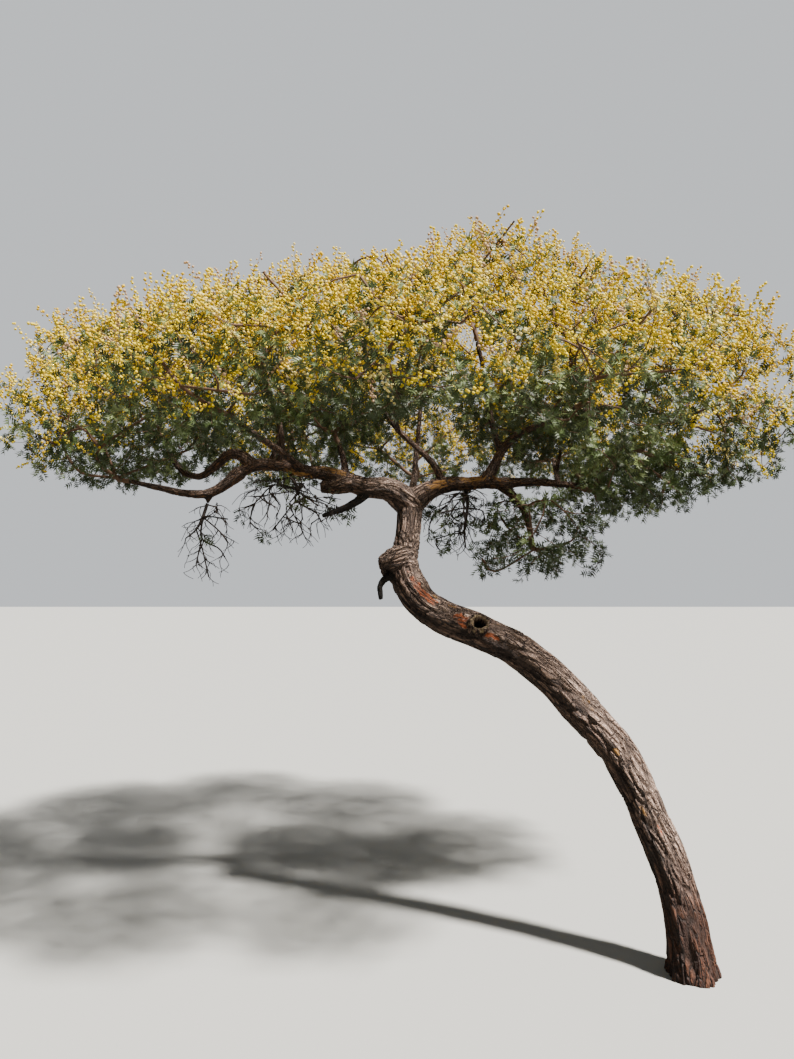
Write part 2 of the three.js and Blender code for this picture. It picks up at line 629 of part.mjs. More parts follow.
// The nearest place on the twigs to a point, short of a twig's very end
function nearestOnTwigs(nodes, point) {
  let nearest = null;
  nodes.slice(2).forEach((node) => {
    const start = nodes[node.parent].point;
    const end = node.point.clone().lerp(start, TWIG_END_SHARE);
    const place = new THREE.Line3(start, end).closestPointToPoint(point, true, new THREE.Vector3());
    if (!nearest || place.distanceTo(point) < nearest.distanceTo(point)) nearest = place;
  });
  return nearest;
}

// Sprays grow from the twigs towards further points of the sequence, blossom where the point is high in the
// mass and leaves below. One that would leave its space or touch another is tried smaller and then skipped.
function spraySolids(mass, nodes) {
  const solids = [];
  const { sprays, bloomsAbove } = COUNTS[mass.kind];
  const squareMetres = (mass.radii.x * mass.radii.y) / 1e6;
  const most = Math.round(sprays * squareMetres);
  for (let tries = 0; tries < MOST_TRIES && solids.length < most; tries += 1) {
    const target = mass.nextPoint(1);
    const height = (target.z - mass.middle.z) / mass.radii.z;
    const size = height > bloomsAbove ? BLOSSOM_SPRAY : LEAF_SPRAY;
    const root = nearestOnTwigs(nodes, target);
    const spray = SPRAY_SHRINK
      .map((scale) => new Spray(root, target, size, scale))
      .find((one) => one.fits(mass));
    if (!spray) continue;
    solids.push(spray.solid());
    mass.taken.push(spray);
  }
  return solids;
}

function massSolid(mass) {
  const nodes = growTwigs(mass);
  return wholePiece([...twigSolids(mass, nodes), ...spraySolids(mass, nodes)]);
}

// The tree

const bark = new THREE.MeshStandardMaterial({ color: COLOURS.bark, roughness: 0.95, metalness: 0 });
const deadWood = new THREE.MeshStandardMaterial({ color: COLOURS.dead, roughness: 0.95, metalness: 0 });
const crownMaterials = {
  leafy: new THREE.MeshStandardMaterial({ color: COLOURS.leafy, roughness: 0.8, metalness: 0 }),
  bloom: new THREE.MeshStandardMaterial({ color: COLOURS.bloom, roughness: 0.85, metalness: 0 }),
  bare: deadWood,
};

function named(name, solid, material) {
  const mesh = new THREE.Mesh(geometryOf(solid), material);
  mesh.name = name;
  return mesh;
}

const tree = new THREE.Group();
for (const limb of limbList.filter((each) => !each.fused)) {
  tree.add(named(limb.name, limbSolid(limb), limb.name === 'broken_limb' ? deadWood : bark));
}
for (const mass of masses) {
  tree.add(named(mass.name, massSolid(mass), crownMaterials[mass.kind]));
}

export default tree;
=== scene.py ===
# %% [markdown]
# # A flowering acacia
# This notebook dresses a young umbrella acacia: a leaning trunk bent like an S, boughs that spread from its fork,
# and a flat, open crown that is green below and yellow with blossom above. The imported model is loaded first, as a
# fixed frame of plain solids in metres. It says how big everything is and where it goes. Every solid is then
# replaced by what the real tree has there: wood with the relief of bark, twigs, feathery leaves and flower heads.

# %% The frame
import json
import math

import bmesh
import bpy
import numpy as np
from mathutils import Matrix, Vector, noise

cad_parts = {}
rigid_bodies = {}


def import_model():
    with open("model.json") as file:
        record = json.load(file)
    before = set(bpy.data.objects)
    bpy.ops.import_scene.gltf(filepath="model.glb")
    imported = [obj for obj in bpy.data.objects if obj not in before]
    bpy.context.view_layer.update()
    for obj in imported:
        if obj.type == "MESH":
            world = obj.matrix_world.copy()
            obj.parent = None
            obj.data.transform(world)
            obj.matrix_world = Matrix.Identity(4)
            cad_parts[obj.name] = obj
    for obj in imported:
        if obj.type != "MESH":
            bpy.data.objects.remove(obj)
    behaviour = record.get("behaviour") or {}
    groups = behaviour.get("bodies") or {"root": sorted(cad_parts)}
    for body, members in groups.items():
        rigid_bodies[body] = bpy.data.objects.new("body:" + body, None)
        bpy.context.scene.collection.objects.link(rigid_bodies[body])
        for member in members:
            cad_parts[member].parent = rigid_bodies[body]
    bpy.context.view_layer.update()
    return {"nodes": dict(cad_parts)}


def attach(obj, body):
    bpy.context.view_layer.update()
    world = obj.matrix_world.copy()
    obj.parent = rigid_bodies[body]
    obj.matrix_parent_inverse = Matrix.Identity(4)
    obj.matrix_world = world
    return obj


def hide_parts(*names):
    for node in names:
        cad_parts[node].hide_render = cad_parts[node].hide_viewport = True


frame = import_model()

scene = bpy.context.scene
print("solids in the frame:", len(frame["nodes"]))

# %% [markdown]
# ## The camera
# The photograph was taken by a standing person who held a phone upright, 3.2 metres in front of the trunk's foot.
# The horizon lies a little below the picture's middle, so the camera looks up by a few degrees. Blender measures
# the lens against the picture's long side, so the focal length in pixels is turned into millimetres with it.

# %% Camera
PHOTO_HEIGHT = 1059
FOCAL_PIXELS = 800
SENSOR = 36
EYE = Vector((-1.154, -3.229, 1.55))
LOOK_UP = math.radians(3.47)

camera = bpy.data.objects.new("camera", bpy.data.cameras.new("camera"))
camera.data.sensor_width = SENSOR
camera.data.lens = SENSOR * FOCAL_PIXELS / PHOTO_HEIGHT
camera.location = EYE
camera.rotation_euler = (math.pi / 2 + LOOK_UP, 0, 0)
scene.collection.objects.link(camera)
scene.camera = camera
print(f"lens: {camera.data.lens:.1f} mm")

# %% [markdown]
# ## Floor and light
# A plain pale floor and a pale surround stand in for a studio. One soft sun from high on the right, a little to the
# camera's side, lights the crown's top and the trunk's right side, as in the photograph. The dark ground there
# throws little light back, so the shade is deep. The surround and the floor fill the shade only weakly here too, but
# the camera sees them pale: the Light Path node tells the two apart. The floor is part of the stage, not of the
# tree.

# %% Stage
FLOOR_SIZE = 80
FLOOR_SEEN = (0.46, 0.46, 0.44, 1)
FLOOR_FILL = (0.16, 0.16, 0.14, 1)
FLOOR_ROUGHNESS = 0.9
SURROUND_COLOUR = (0.84, 0.87, 0.9, 1)
SURROUND_FILL = 0.2
SURROUND_SEEN = 0.85
SUN_FROM = Vector((1.35, -0.7, 2.6))
SUN_STRENGTH = 12.5
SUN_SOFTNESS = math.radians(5)
SUN_COLOUR = (1, 0.96, 0.9)

# The numbers of a Mix node's sockets for each kind of value: both inputs and the result
MIX_SOCKETS = {"FLOAT": (2, 3, 0), "RGBA": (6, 7, 2)}


def by_camera_ray(tree, kind, seen, other):
    """A value or a colour that the camera sees, and the one that lights the rest."""
    choice = tree.nodes.new("ShaderNodeMix")
    choice.data_type = kind
    first, second, result = MIX_SOCKETS[kind]
    choice.inputs[first].default_value = other
    choice.inputs[second].default_value = seen
    tree.links.new(tree.nodes.new("ShaderNodeLightPath").outputs["Is Camera Ray"], choice.inputs["Factor"])
    return choice.outputs[result]


def new_material(name, colour, roughness):
    """A material with one plain Principled shader, and that shader."""
    material = bpy.data.materials.new(name)
    material.use_nodes = True
    shader = material.node_tree.nodes["Principled BSDF"]
    shader.inputs["Base Color"].default_value = (*colour[:3], 1)
    shader.inputs["Roughness"].default_value = roughness
    shader.inputs["Metallic"].default_value = 0
    return material, shader


half = FLOOR_SIZE / 2
floor_mesh = bpy.data.meshes.new("floor")
floor_mesh.from_pydata([(-half, -half, 0), (half, -half, 0), (half, half, 0), (-half, half, 0)], [], [(0, 1, 2, 3)])
floor = bpy.data.objects.new("floor", floor_mesh)
floor_material, floor_shader = new_material("floor", FLOOR_SEEN, FLOOR_ROUGHNESS)
floor_nodes = floor_material.node_tree
floor_nodes.links.new(by_camera_ray(floor_nodes, "RGBA", FLOOR_SEEN, FLOOR_FILL), floor_shader.inputs["Base Color"])
floor_mesh.materials.append(floor_material)
scene.collection.objects.link(floor)

world = bpy.data.worlds.new("surround")
world.use_nodes = True
background = world.node_tree.nodes["Background"]
background.inputs["Color"].default_value = SURROUND_COLOUR
strength = by_camera_ray(world.node_tree, "FLOAT", SURROUND_SEEN, SURROUND_FILL)
world.node_tree.links.new(strength, background.inputs["Strength"])
scene.world = world

sun = bpy.data.objects.new("sun", bpy.data.lights.new("sun", "SUN"))
sun.data.energy = SUN_STRENGTH
sun.data.angle = SUN_SOFTNESS
sun.data.color = SUN_COLOUR
sun.rotation_euler = SUN_FROM.to_track_quat("Z", "Y").to_euler()
scene.collection.objects.link(sun)
print("sun height:", round(math.degrees(math.asin(SUN_FROM.normalized().z))), "degrees")

# %% [markdown]
# ## Smooth curves for limbs
# A real limb has no corners, so each one is a smooth curve through a few points, each with a radius. The same
# curve is in the solids' source, so that a limb here lies exactly where its solid lies. numpy works on all points
# of a curve at once, which is short to write and quick to run.

# %% Curves
CURVE_DIVISIONS = 200
NUDGE = 1e-4
TINY = 1e-12

# A limb that starts more nearly along X than this takes Z for its first side direction
ALONG_X = 0.7


def unit(vectors):
    """Vectors of length 1, for one vector or a row of them."""
    vectors = np.asarray(vectors, float)
    return vectors / np.maximum(np.linalg.norm(vectors, axis=-1, keepdims=True), TINY)


def smooth(points, places):
    """The curve through some points, at places from 0, the first point, to 1, the last."""
    padded = np.vstack([2 * points[0] - points[1], points, 2 * points[-1] - points[-2]])
    spots = np.clip(places, 0, 1) * (len(points) - 1)
    first = np.minimum(spots.astype(int), len(points) - 2)
    way = (spots - first)[:, None]
    before, start, end, after = (padded[first + step] for step in range(4))
    leaving = (end - before) / 2
    arriving = (after - start) / 2
    return (start + leaving * way + (3 * (end - start) - 2 * leaving - arriving) * way**2
            + (2 * (start - end) + leaving + arriving) * way**3)


def smoothstep(low, high, values):
    """0 below low, 1 above high, and a soft rise between them."""
    share = np.clip((values - low) / (high - low), 0, 1)
    return share * share * (3 - 2 * share)


class Curve:
    """A smooth curve with a radius. Places on it are told as shares of its length."""

    def __init__(self, points, radii):
        self.control = np.array(points, float)
        self.radii = np.array(radii, float)
        self.places = np.linspace(0, 1, CURVE_DIVISIONS + 1)
        steps = np.linalg.norm(np.diff(smooth(self.control, self.places), axis=0), axis=1)
        self.ways = np.concatenate([[0], np.cumsum(steps)])
        self.length = self.ways[-1]

    def place(self, shares):
        """The curve's own places, 0 to 1, at shares of its length."""
        return np.interp(np.asarray(shares, float) * self.length, self.ways, self.places)

    def points(self, shares):
        """Points on the curve."""
        return smooth(self.control, self.place(shares))

    def directions(self, shares):
        """The directions that the curve runs in."""
        places = self.place(shares)
        return unit(smooth(self.control, places + NUDGE) - smooth(self.control, places - NUDGE))

    def radius(self, shares):
        """The radii, which change evenly from one driving point to the next."""
        count = len(self.radii)
        return np.interp(self.place(shares) * (count - 1), np.arange(count), self.radii)

    def shares(self, step):
        """Shares of the length that lie at most a step apart, from the start to the tip."""
        return np.linspace(0, 1, math.ceil(self.length / step) + 1)


def sides_along(directions):
    """A side direction for each point of a curve, carried along it so that it doesn't twist."""
    side = np.array([1.0, 0, 0]) if abs(directions[0][0]) < ALONG_X else np.array([0, 0, 1.0])
    sides = []
    for direction in directions:
        side = unit(side - direction * (side @ direction))
        sides.append(side)
    return np.array(sides)


print("points worked out along each curve:", CURVE_DIVISIONS + 1)

# %% [markdown]
# ## The limbs
# The trunk, the boughs and the limbs are told by the points that they run through: x, y, z and the radius. Each
# starts on its parent's middle line. The burl, the stub, the knot, the stump and the pegs are fused to their parents
# and have no solids of their own. These are the driving points of the solids' source, written here again in metres,
# because a curve can't be read back from a solid.

# %% Limb data
LIMBS = [
    ("trunk", None, [
        (-0.004, -0.008, -0.11, 0.082), (-0.004, 0.012, 0.12, 0.079), (-0.045, 0.092, 0.377, 0.077),
        (-0.192, 0.215, 0.772, 0.076), (-0.345, 0.303, 0.975, 0.082), (-0.47, 0.368, 1.112, 0.081),
        (-0.626, 0.437, 1.233, 0.079), (-0.779, 0.5, 1.306, 0.08), (-0.95, 0.575, 1.374, 0.079),
        (-1.06, 0.616, 1.466, 0.081), (-1.118, 0.65, 1.595, 0.077), (-1.1, 0.695, 1.765, 0.06),
        (-1.086, 0.745, 1.915, 0.062)]),
    ("trunk_burl", "trunk", [
        (-1.12, 0.655, 1.622, 0.068), (-1.18, 0.642, 1.618, 0.06), (-1.234, 0.632, 1.602, 0.042)]),
    ("trunk_stub", "trunk", [
        (-1.13, 0.64, 1.57, 0.02), (-1.2, 0.618, 1.552, 0.017), (-1.234, 0.606, 1.512, 0.015),
        (-1.23, 0.6, 1.446, 0.012)]),
    ("trunk_knot", "trunk", [
        (-0.779, 0.5, 1.305, 0.052), (-0.779, 0.45, 1.333, 0.046), (-0.78, 0.412, 1.354, 0.038)]),
    ("bough_left", "trunk", [
        (-1.086, 0.745, 1.915, 0.054), (-1.19, 0.745, 1.988, 0.052), (-1.31, 0.74, 2.002, 0.049),
        (-1.41, 0.733, 2.03, 0.045), (-1.49, 0.728, 2.066, 0.035), (-1.6, 0.724, 2.078, 0.033),
        (-1.72, 0.718, 2.106, 0.032), (-1.84, 0.708, 2.11, 0.031), (-1.925, 0.7, 2.075, 0.029)]),
    ("stump_left", "bough_left", [
        (-1.39, 0.734, 2.018, 0.038), (-1.465, 0.726, 2.006, 0.038), (-1.535, 0.72, 1.998, 0.027)]),
    ("peg_left", "bough_left", [
        (-1.69, 0.718, 2.1, 0.013), (-1.672, 0.716, 2.045, 0.009)]),
    ("broken_limb", "bough_left", [
        (-1.27, 0.741, 1.995, 0.023), (-1.35, 0.728, 1.932, 0.021), (-1.435, 0.715, 1.886, 0.018),
        (-1.523, 0.7, 1.855, 0.012)]),
    ("bough_left_low", "bough_left", [
        (-1.925, 0.7, 2.075, 0.029), (-1.992, 0.69, 2.016, 0.027), (-2.075, 0.679, 1.966, 0.024),
        (-2.18, 0.662, 1.962, 0.02), (-2.32, 0.648, 1.99, 0.016), (-2.455, 0.655, 2.022, 0.013)]),
    ("peg_left_end", "bough_left_low", [
        (-2.075, 0.679, 1.966, 0.014), (-2.084, 0.68, 1.915, 0.009)]),
    ("bough_left_high", "bough_left", [
        (-1.87, 0.706, 2.1, 0.027), (-1.925, 0.712, 2.155, 0.026), (-1.99, 0.728, 2.165, 0.025),
        (-2.06, 0.765, 2.115, 0.022), (-2.16, 0.815, 2.065, 0.019), (-2.275, 0.86, 2.115, 0.016),
        (-2.355, 0.87, 2.27, 0.014), (-2.4, 0.87, 2.44, 0.012)]),
    ("limb_left_front", "bough_left", [
        (-1.63, 0.723, 2.084, 0.02), (-1.69, 0.61, 2.14, 0.019), (-1.785, 0.41, 2.195, 0.016),
        (-1.86, 0.24, 2.24, 0.013)]),
    ("limb_left_rise", "bough_left", [
        (-1.735, 0.717, 2.107, 0.019), (-1.722, 0.7, 2.2, 0.017), (-1.742, 0.68, 2.336, 0.015),
        (-1.79, 0.6, 2.48, 0.013)]),
    ("limb_left_back", "bough_left", [
        (-1.8, 0.711, 2.11, 0.022), (-1.812, 0.85, 2.14, 0.02), (-1.832, 1.1, 2.175, 0.017),
        (-1.85, 1.35, 2.22, 0.014)]),
    ("limb_left_back_high", "limb_left_back", [
        (-1.825, 1.03, 2.165, 0.016), (-1.802, 1.13, 2.34, 0.015), (-1.77, 1.26, 2.62, 0.012)]),
    ("limb_low_middle", "bough_left", [
        (-1.405, 0.733, 2.028, 0.019), (-1.42, 0.76, 2.13, 0.017), (-1.45, 0.79, 2.23, 0.013)]),
    ("limb_back", "trunk", [
        (-1.092, 0.718, 1.845, 0.032), (-1.078, 0.87, 1.96, 0.028), (-1.065, 1.12, 2.06, 0.022),
        (-1.05, 1.45, 2.16, 0.017), (-1.04, 1.74, 2.26, 0.014)]),
    ("limb_back_high", "limb_back", [
        (-1.06, 1.25, 2.1, 0.018), (-1.04, 1.33, 2.3, 0.016), (-1, 1.48, 2.7, 0.012)]),
    ("bough_right", "trunk", [
        (-1.086, 0.745, 1.915, 0.048), (-1.03, 0.758, 1.966, 0.045), (-0.955, 0.765, 2.004, 0.042),
        (-0.877, 0.77, 2.02, 0.038), (-0.8, 0.772, 2.022, 0.035), (-0.71, 0.772, 2.03, 0.033),
        (-0.636, 0.772, 2.022, 0.029)]),
    ("peg_right", "bough_right", [
        (-0.8, 0.77, 2.022, 0.014), (-0.806, 0.764, 1.968, 0.009)]),
    ("limb_middle", "bough_right", [
        (-0.925, 0.767, 2.01, 0.02), (-0.95, 0.77, 2.09, 0.019), (-1.01, 0.774, 2.165, 0.017),
        (-1.15, 0.79, 2.3, 0.015), (-1.225, 0.8, 2.41, 0.013), (-1.28, 0.812, 2.56, 0.012),
        (-1.305, 0.818, 2.69, 0.011)]),
    ("limb_middle_front", "limb_middle", [
        (-1.15, 0.79, 2.3, 0.014), (-1.162, 0.6, 2.332, 0.013), (-1.15, 0.33, 2.352, 0.011),
        (-1.145, 0.16, 2.372, 0.01)]),
    ("limb_front_high", "limb_middle_front", [
        (-1.158, 0.52, 2.34, 0.012), (-1.12, 0.4, 2.44, 0.011), (-1.08, 0.25, 2.61, 0.01)]),
    ("bough_right_hang", "bough_right", [
        (-0.636, 0.772, 2.022, 0.023), (-0.57, 0.77, 1.962, 0.02), (-0.527, 0.768, 1.902, 0.018),
        (-0.502, 0.765, 1.83, 0.016), (-0.485, 0.762, 1.76, 0.014)]),
    ("bough_right_outer", "bough_right", [
        (-0.636, 0.772, 2.022, 0.026), (-0.53, 0.778, 2.032, 0.024), (-0.4, 0.786, 2.03, 0.021),
        (-0.23, 0.793, 2.012, 0.017)]),
    ("limb_right_back", "bough_right_outer", [
        (-0.35, 0.788, 2.026, 0.017), (-0.315, 0.94, 2.075, 0.016), (-0.275, 1.18, 2.155, 0.014),
        (-0.245, 1.38, 2.22, 0.012)]),
    ("limb_right_back_high", "limb_right_back", [
        (-0.29, 1.08, 2.125, 0.013), (-0.25, 1.16, 2.26, 0.012), (-0.19, 1.3, 2.56, 0.01)]),
    ("bough_right_rise", "bough_right", [
        (-0.705, 0.772, 2.029, 0.027), (-0.665, 0.775, 2.11, 0.025), (-0.619, 0.775, 2.2, 0.023),
        (-0.542, 0.78, 2.27, 0.021), (-0.403, 0.79, 2.325, 0.018), (-0.315, 0.8, 2.37, 0.016),
        (-0.262, 0.805, 2.5, 0.014), (-0.262, 0.815, 2.69, 0.012)]),
    ("limb_peak", "bough_right_rise", [
        (-0.632, 0.775, 2.18, 0.017), (-0.672, 0.778, 2.32, 0.016), (-0.692, 0.782, 2.46, 0.015),
        (-0.718, 0.79, 2.634, 0.013), (-0.745, 0.8, 2.76, 0.012)]),
    ("limb_right_front", "bough_right_rise", [
        (-0.6, 0.776, 2.222, 0.016), (-0.54, 0.63, 2.262, 0.015), (-0.43, 0.4, 2.28, 0.013),
        (-0.37, 0.24, 2.3, 0.011)]),
    ("limb_right_middle", "bough_right_rise", [
        (-0.47, 0.786, 2.3, 0.015), (-0.44, 0.7, 2.318, 0.013), (-0.425, 0.62, 2.338, 0.011)]),
    ("limb_droop", "bough_right_rise", [
        (-0.345, 0.796, 2.35, 0.016), (-0.21, 0.808, 2.398, 0.015), (0, 0.812, 2.425, 0.013),
        (0.12, 0.815, 2.412, 0.012), (0.21, 0.818, 2.378, 0.011)]),
    ("limb_right_end", "limb_droop", [
        (0, 0.812, 2.425, 0.012), (0.09, 0.822, 2.49, 0.011), (0.2, 0.83, 2.545, 0.011)]),
]
print("limbs, stumps and pegs:", len(LIMBS))

# %% Limbs
SAMPLE_STEP = 0.02


class Limb(Curve):
    """A trunk, bough or limb that starts on its parent."""

    def __init__(self, name, parent, path):
        path = np.array(path)
        if parent:
            path[0, :3] = limbs[parent].nearest(path[0, :3])
        super().__init__(path[:, :3], path[:, 3])
        self.name, self.parent = name, parent
        self.sample_shares = self.shares(SAMPLE_STEP)
        self.samples = self.points(self.sample_shares)
        self.sample_radii = self.radius(self.sample_shares)

    def nearest(self, point):
        """The place on the middle line that is nearest to a point."""
        return self.samples[np.argmin(np.linalg.norm(self.samples - point, axis=1))]


limbs = {}
for name, parent, path in LIMBS:
    limbs[name] = Limb(name, parent, path)
for name in sorted(limbs, key=lambda each: -limbs[each].length)[:4]:
    print(f"{name}: {limbs[name].length:.2f} m long")

# %% [markdown]
# ## From curves to solid wood
# Blender gives a curve a round section whose radius may change along it. All the limbs of a group are such curves,
# which overlap where they join, so they aren't yet one surface. A Remesh modifier wraps them in one even skin, as
# bark wraps the real fork, and a Smooth modifier softens the creases into branch collars. The trunk and the first
# boughs are one group, the thinner limbs another and the dead wood a third, so that no mesh gets too big. Each limb
# is swollen a little where it leaves its parent. A group's skin also takes in the first stretch of every limb of
# another group that leaves it, a little thinner than it is, so that the collar hides where the two skins meet.

# %% Skin
SKIN_STEP = 0.006
THIN_SKIN_STEP = 0.0075
RING_STEP = 0.02
ROUNDNESS = 4
SOFTENING = 4
COLLAR_SWELL = 0.32
COLLAR_FADE = 1.6
CHILD_COLLAR = 0.05
COLLAR_POINTS = 6
COLLAR_THINNER = 0.93
FLARE = 0.26
FLARE_HEIGHT = 0.11
THICK_GROUP = ("trunk", "trunk_burl", "trunk_knot", "bough_left", "stump_left", "peg_left", "bough_right",
               "peg_right")
DEAD_GROUP = ("broken_limb", "trunk_stub")
THIN_GROUP = tuple(name for name in limbs if name not in THICK_GROUP + DEAD_GROUP)


def limb_radii(limb, shares):
    """The radius along a limb, with the foot's flare or the collar's swelling."""
    radii = limb.radius(shares)
    if limb.parent:
        beyond = np.maximum(shares * limb.length - limbs[limb.parent].radii.min(), 0)
        return radii * (1 + COLLAR_SWELL * np.exp(-beyond / (COLLAR_FADE * limb.radii[0])))
    heights = np.maximum(limb.points(shares)[:, 2], 0)
    return radii * (1 + FLARE * np.exp(-heights / FLARE_HEIGHT))


def add_spline(curve, limb, shares, thinner=1.0):
    """A stretch of a limb as one spline of a Blender curve."""
    spline = curve.splines.new("POLY")
    spline.points.add(len(shares) - 1)
    spline.points.foreach_set("co", np.c_[limb.points(shares), np.ones(len(shares))].ravel())
    spline.points.foreach_set("radius", limb_radii(limb, shares) * thinner)


def applied(thing):
    """The mesh of an object with its modifiers applied. The object itself is dropped."""
    ready = thing.evaluated_get(bpy.context.evaluated_depsgraph_get())
    mesh = bpy.data.meshes.new_from_object(ready)
    bpy.data.objects.remove(thing)
    return mesh


def skin(name, group, step):
    """One even skin round the limbs of a group."""
    curve = bpy.data.curves.new(name, "CURVE")
    curve.dimensions = "3D"
    curve.bevel_depth = 1
    curve.bevel_resolution = ROUNDNESS
    curve.use_fill_caps = True
    for limb in (limbs[each] for each in group):
        add_spline(curve, limb, limb.shares(RING_STEP))
        for child in (each for each in limbs.values() if each.parent == limb.name and each.name not in group):
            end = min(1, (limb.radii[0] + CHILD_COLLAR) / child.length)
            add_spline(curve, child, np.linspace(0, end, COLLAR_POINTS), thinner=COLLAR_THINNER)
    bare = bpy.data.objects.new(name, curve)
    scene.collection.objects.link(bare)
    wrapped = bpy.data.objects.new(name, applied(bare))
    scene.collection.objects.link(wrapped)
    remesh = wrapped.modifiers.new("skin", "REMESH")
    remesh.mode = "VOXEL"
    remesh.voxel_size = step
    soften = wrapped.modifiers.new("collars", "SMOOTH")
    soften.iterations = SOFTENING
    return applied(wrapped)


thick_skin = skin("thick_skin", THICK_GROUP, SKIN_STEP)
thin_skin = skin("thin_skin", THIN_GROUP, THIN_SKIN_STEP)
dead_skin = skin("dead_skin", DEAD_GROUP, SKIN_STEP)
for mesh in (thick_skin, thin_skin, dead_skin):
    print(mesh.name, len(mesh.polygons), "faces")

# %% [markdown]
# ## The grain of the wood
# Bark runs along a limb and turns with its bends, so its pattern needs coordinates that do the same. Each corner of
# the skin looks for the stretch of limb that it belongs to. It then knows how far along the limb it is and where it
# lies across it, turned a little on the way, because the grain of an acacia twists. These coordinates are kept on
# the mesh under the name grain, for the relief below and for the materials later.

# %% Grain
GRAIN_STEP = 0.01
GRAIN_TWIST = 0.8
SEARCH_CHUNK = 4000


class Stations:
    """Evenly spaced places along a group of limbs, each with its own directions."""

    def __init__(self, group):
        rows = [self.of_limb(limbs[name]) for name in group]
        self.centres, self.ahead, self.sides, self.radii, self.ways = (
            np.concatenate(column) for column in zip(*rows))

    @staticmethod
    def of_limb(limb):
        """One limb's stations: their places, directions, sides, radii and distances along it."""
        shares = limb.shares(GRAIN_STEP)
        ahead = limb.directions(shares)
        return limb.points(shares), ahead, sides_along(ahead), limb_radii(limb, shares), shares * limb.length

    def nearest(self, corners):
        """For each corner, the station whose round section it is nearest to."""
        found = np.empty(len(corners), int)
        for start in range(0, len(corners), SEARCH_CHUNK):
            chunk = corners[start:start + SEARCH_CHUNK]
            squares = (chunk**2).sum(1)[:, None] + (self.centres**2).sum(1) - 2 * chunk @ self.centres.T
            found[start:start + SEARCH_CHUNK] = np.argmin(np.sqrt(np.maximum(squares, 0)) - self.radii, axis=1)
        return found


def grain_of(corners, stations):
    """The grain coordinates of corners, and the station that each belongs to."""
    near = stations.nearest(corners)
    offsets = corners - stations.centres[near]
    ahead, side = stations.ahead[near], stations.sides[near]
    up = np.cross(ahead, side)
    along = stations.ways[near] + (offsets * ahead).sum(1)
    across, over = (offsets * side).sum(1), (offsets * up).sum(1)
    turn = GRAIN_TWIST * along
    grain = np.c_[along, across * np.cos(turn) - over * np.sin(turn), across * np.sin(turn) + over * np.cos(turn)]
    return grain, near


print("stations along the thick limbs:", len(Stations(THICK_GROUP).centres))

# %% [markdown]
# ## The relief of the bark
# Old acacia bark is cracked into long, narrow ridges with furrows between them, which part and meet again. Cells of
# a Voronoi pattern, stretched along the grain, have just that shape. A furrow runs midway between the nearest two
# cell points, and the distance to it follows from both points, in metres, so that a furrow is equally wide whichever
# way it runs. Ridges and furrows get narrower on thinner limbs. Slow noise adds the lumps and hollows under the bark.
# Each corner of the skin is moved out or in by the sum. This could be left to a bump in the material, but real
# relief also shows at the outline, and it stays when the mesh is used elsewhere.

# %% Relief
RIDGE = np.array([0.19, 0.03, 0.03])
RIDGE_WARP = 0.5
WARP_FINENESS = (1.6, 0.6, 0.6)
RIDGE_DEPTH = 0.0075
RIDGE_SINK = 0.75
RIDGE_ROUGHNESS = 0.35
ROUGH_FINENESS = (1.2, 1.6, 1.6)
FURROW_WIDTH = 0.008
FULL_SIZE_RADIUS = 0.075
SMALLEST_SCALE = 0.3
LUMP_SIZE = 0.16
LUMP_DEPTH = 0.09
LAYER_FALL = 1.0
LAYER_FINER = 2.0
NOISE_SEED = 20

# Vector noise is shifted by random numbers, so the seed is what makes the bark the same on every run
noise.seed_set(NOISE_SEED)


def rough_noise(rows, layers):
    """Noise in layers, each finer and weaker than the one before, at each row of coordinates."""
    return np.array([noise.fractal(Vector(row), LAYER_FALL, LAYER_FINER, layers) for row in rows])


def bark_relief(corners, grain, radii):
    """How far each corner stands out, and how much it is ridge, 1, rather than furrow, 0."""
    scale = np.clip(radii / FULL_SIZE_RADIUS, SMALLEST_SCALE, 1)[:, None]
    cells = grain / (RIDGE * scale)
    cells += RIDGE_WARP * np.array([noise.noise_vector(Vector(row)) for row in cells * WARP_FINENESS])
    found = [noise.voronoi(Vector(row)) for row in cells]
    first, second = (np.array([points[place] for _, points in found]) for place in (0, 1))
    away = ((cells - second)**2).sum(1) - ((cells - first)**2).sum(1)
    to_furrow = away / (2 * np.linalg.norm((second - first) / (RIDGE * scale), axis=1))
    ridge = smoothstep(0.0, FURROW_WIDTH, to_furrow / scale[:, 0])
    rough = rough_noise(cells * ROUGH_FINENESS, 3)
    lumps = np.array([noise.noise(Vector(row)) for row in corners / LUMP_SIZE])
    standing = ridge - RIDGE_SINK + RIDGE_ROUGHNESS * rough
    return RIDGE_DEPTH * scale[:, 0] * standing + LUMP_DEPTH * radii * lumps, ridge


print("ridges on the trunk:", *[round(1000 * size) for size in RIDGE[:2]], "mm long and wide")

# %% [markdown]
# ## Scars on the trunk
# The photographed trunk has marks of its own. A limb once broke out of the knot half way up and left an open socket
# with a torn rim, and smaller shoots left two pits above it. The burl at the upper bend has a dark hollow under it.
# In a few places the outer bark has flaked off, so that red inner bark shows. Along both boughs, and in small spots
# on the trunk, it peels in thin layers and shows gold. Each mark is told by a point near the surface and a size, and
# moves or marks the corners round it.

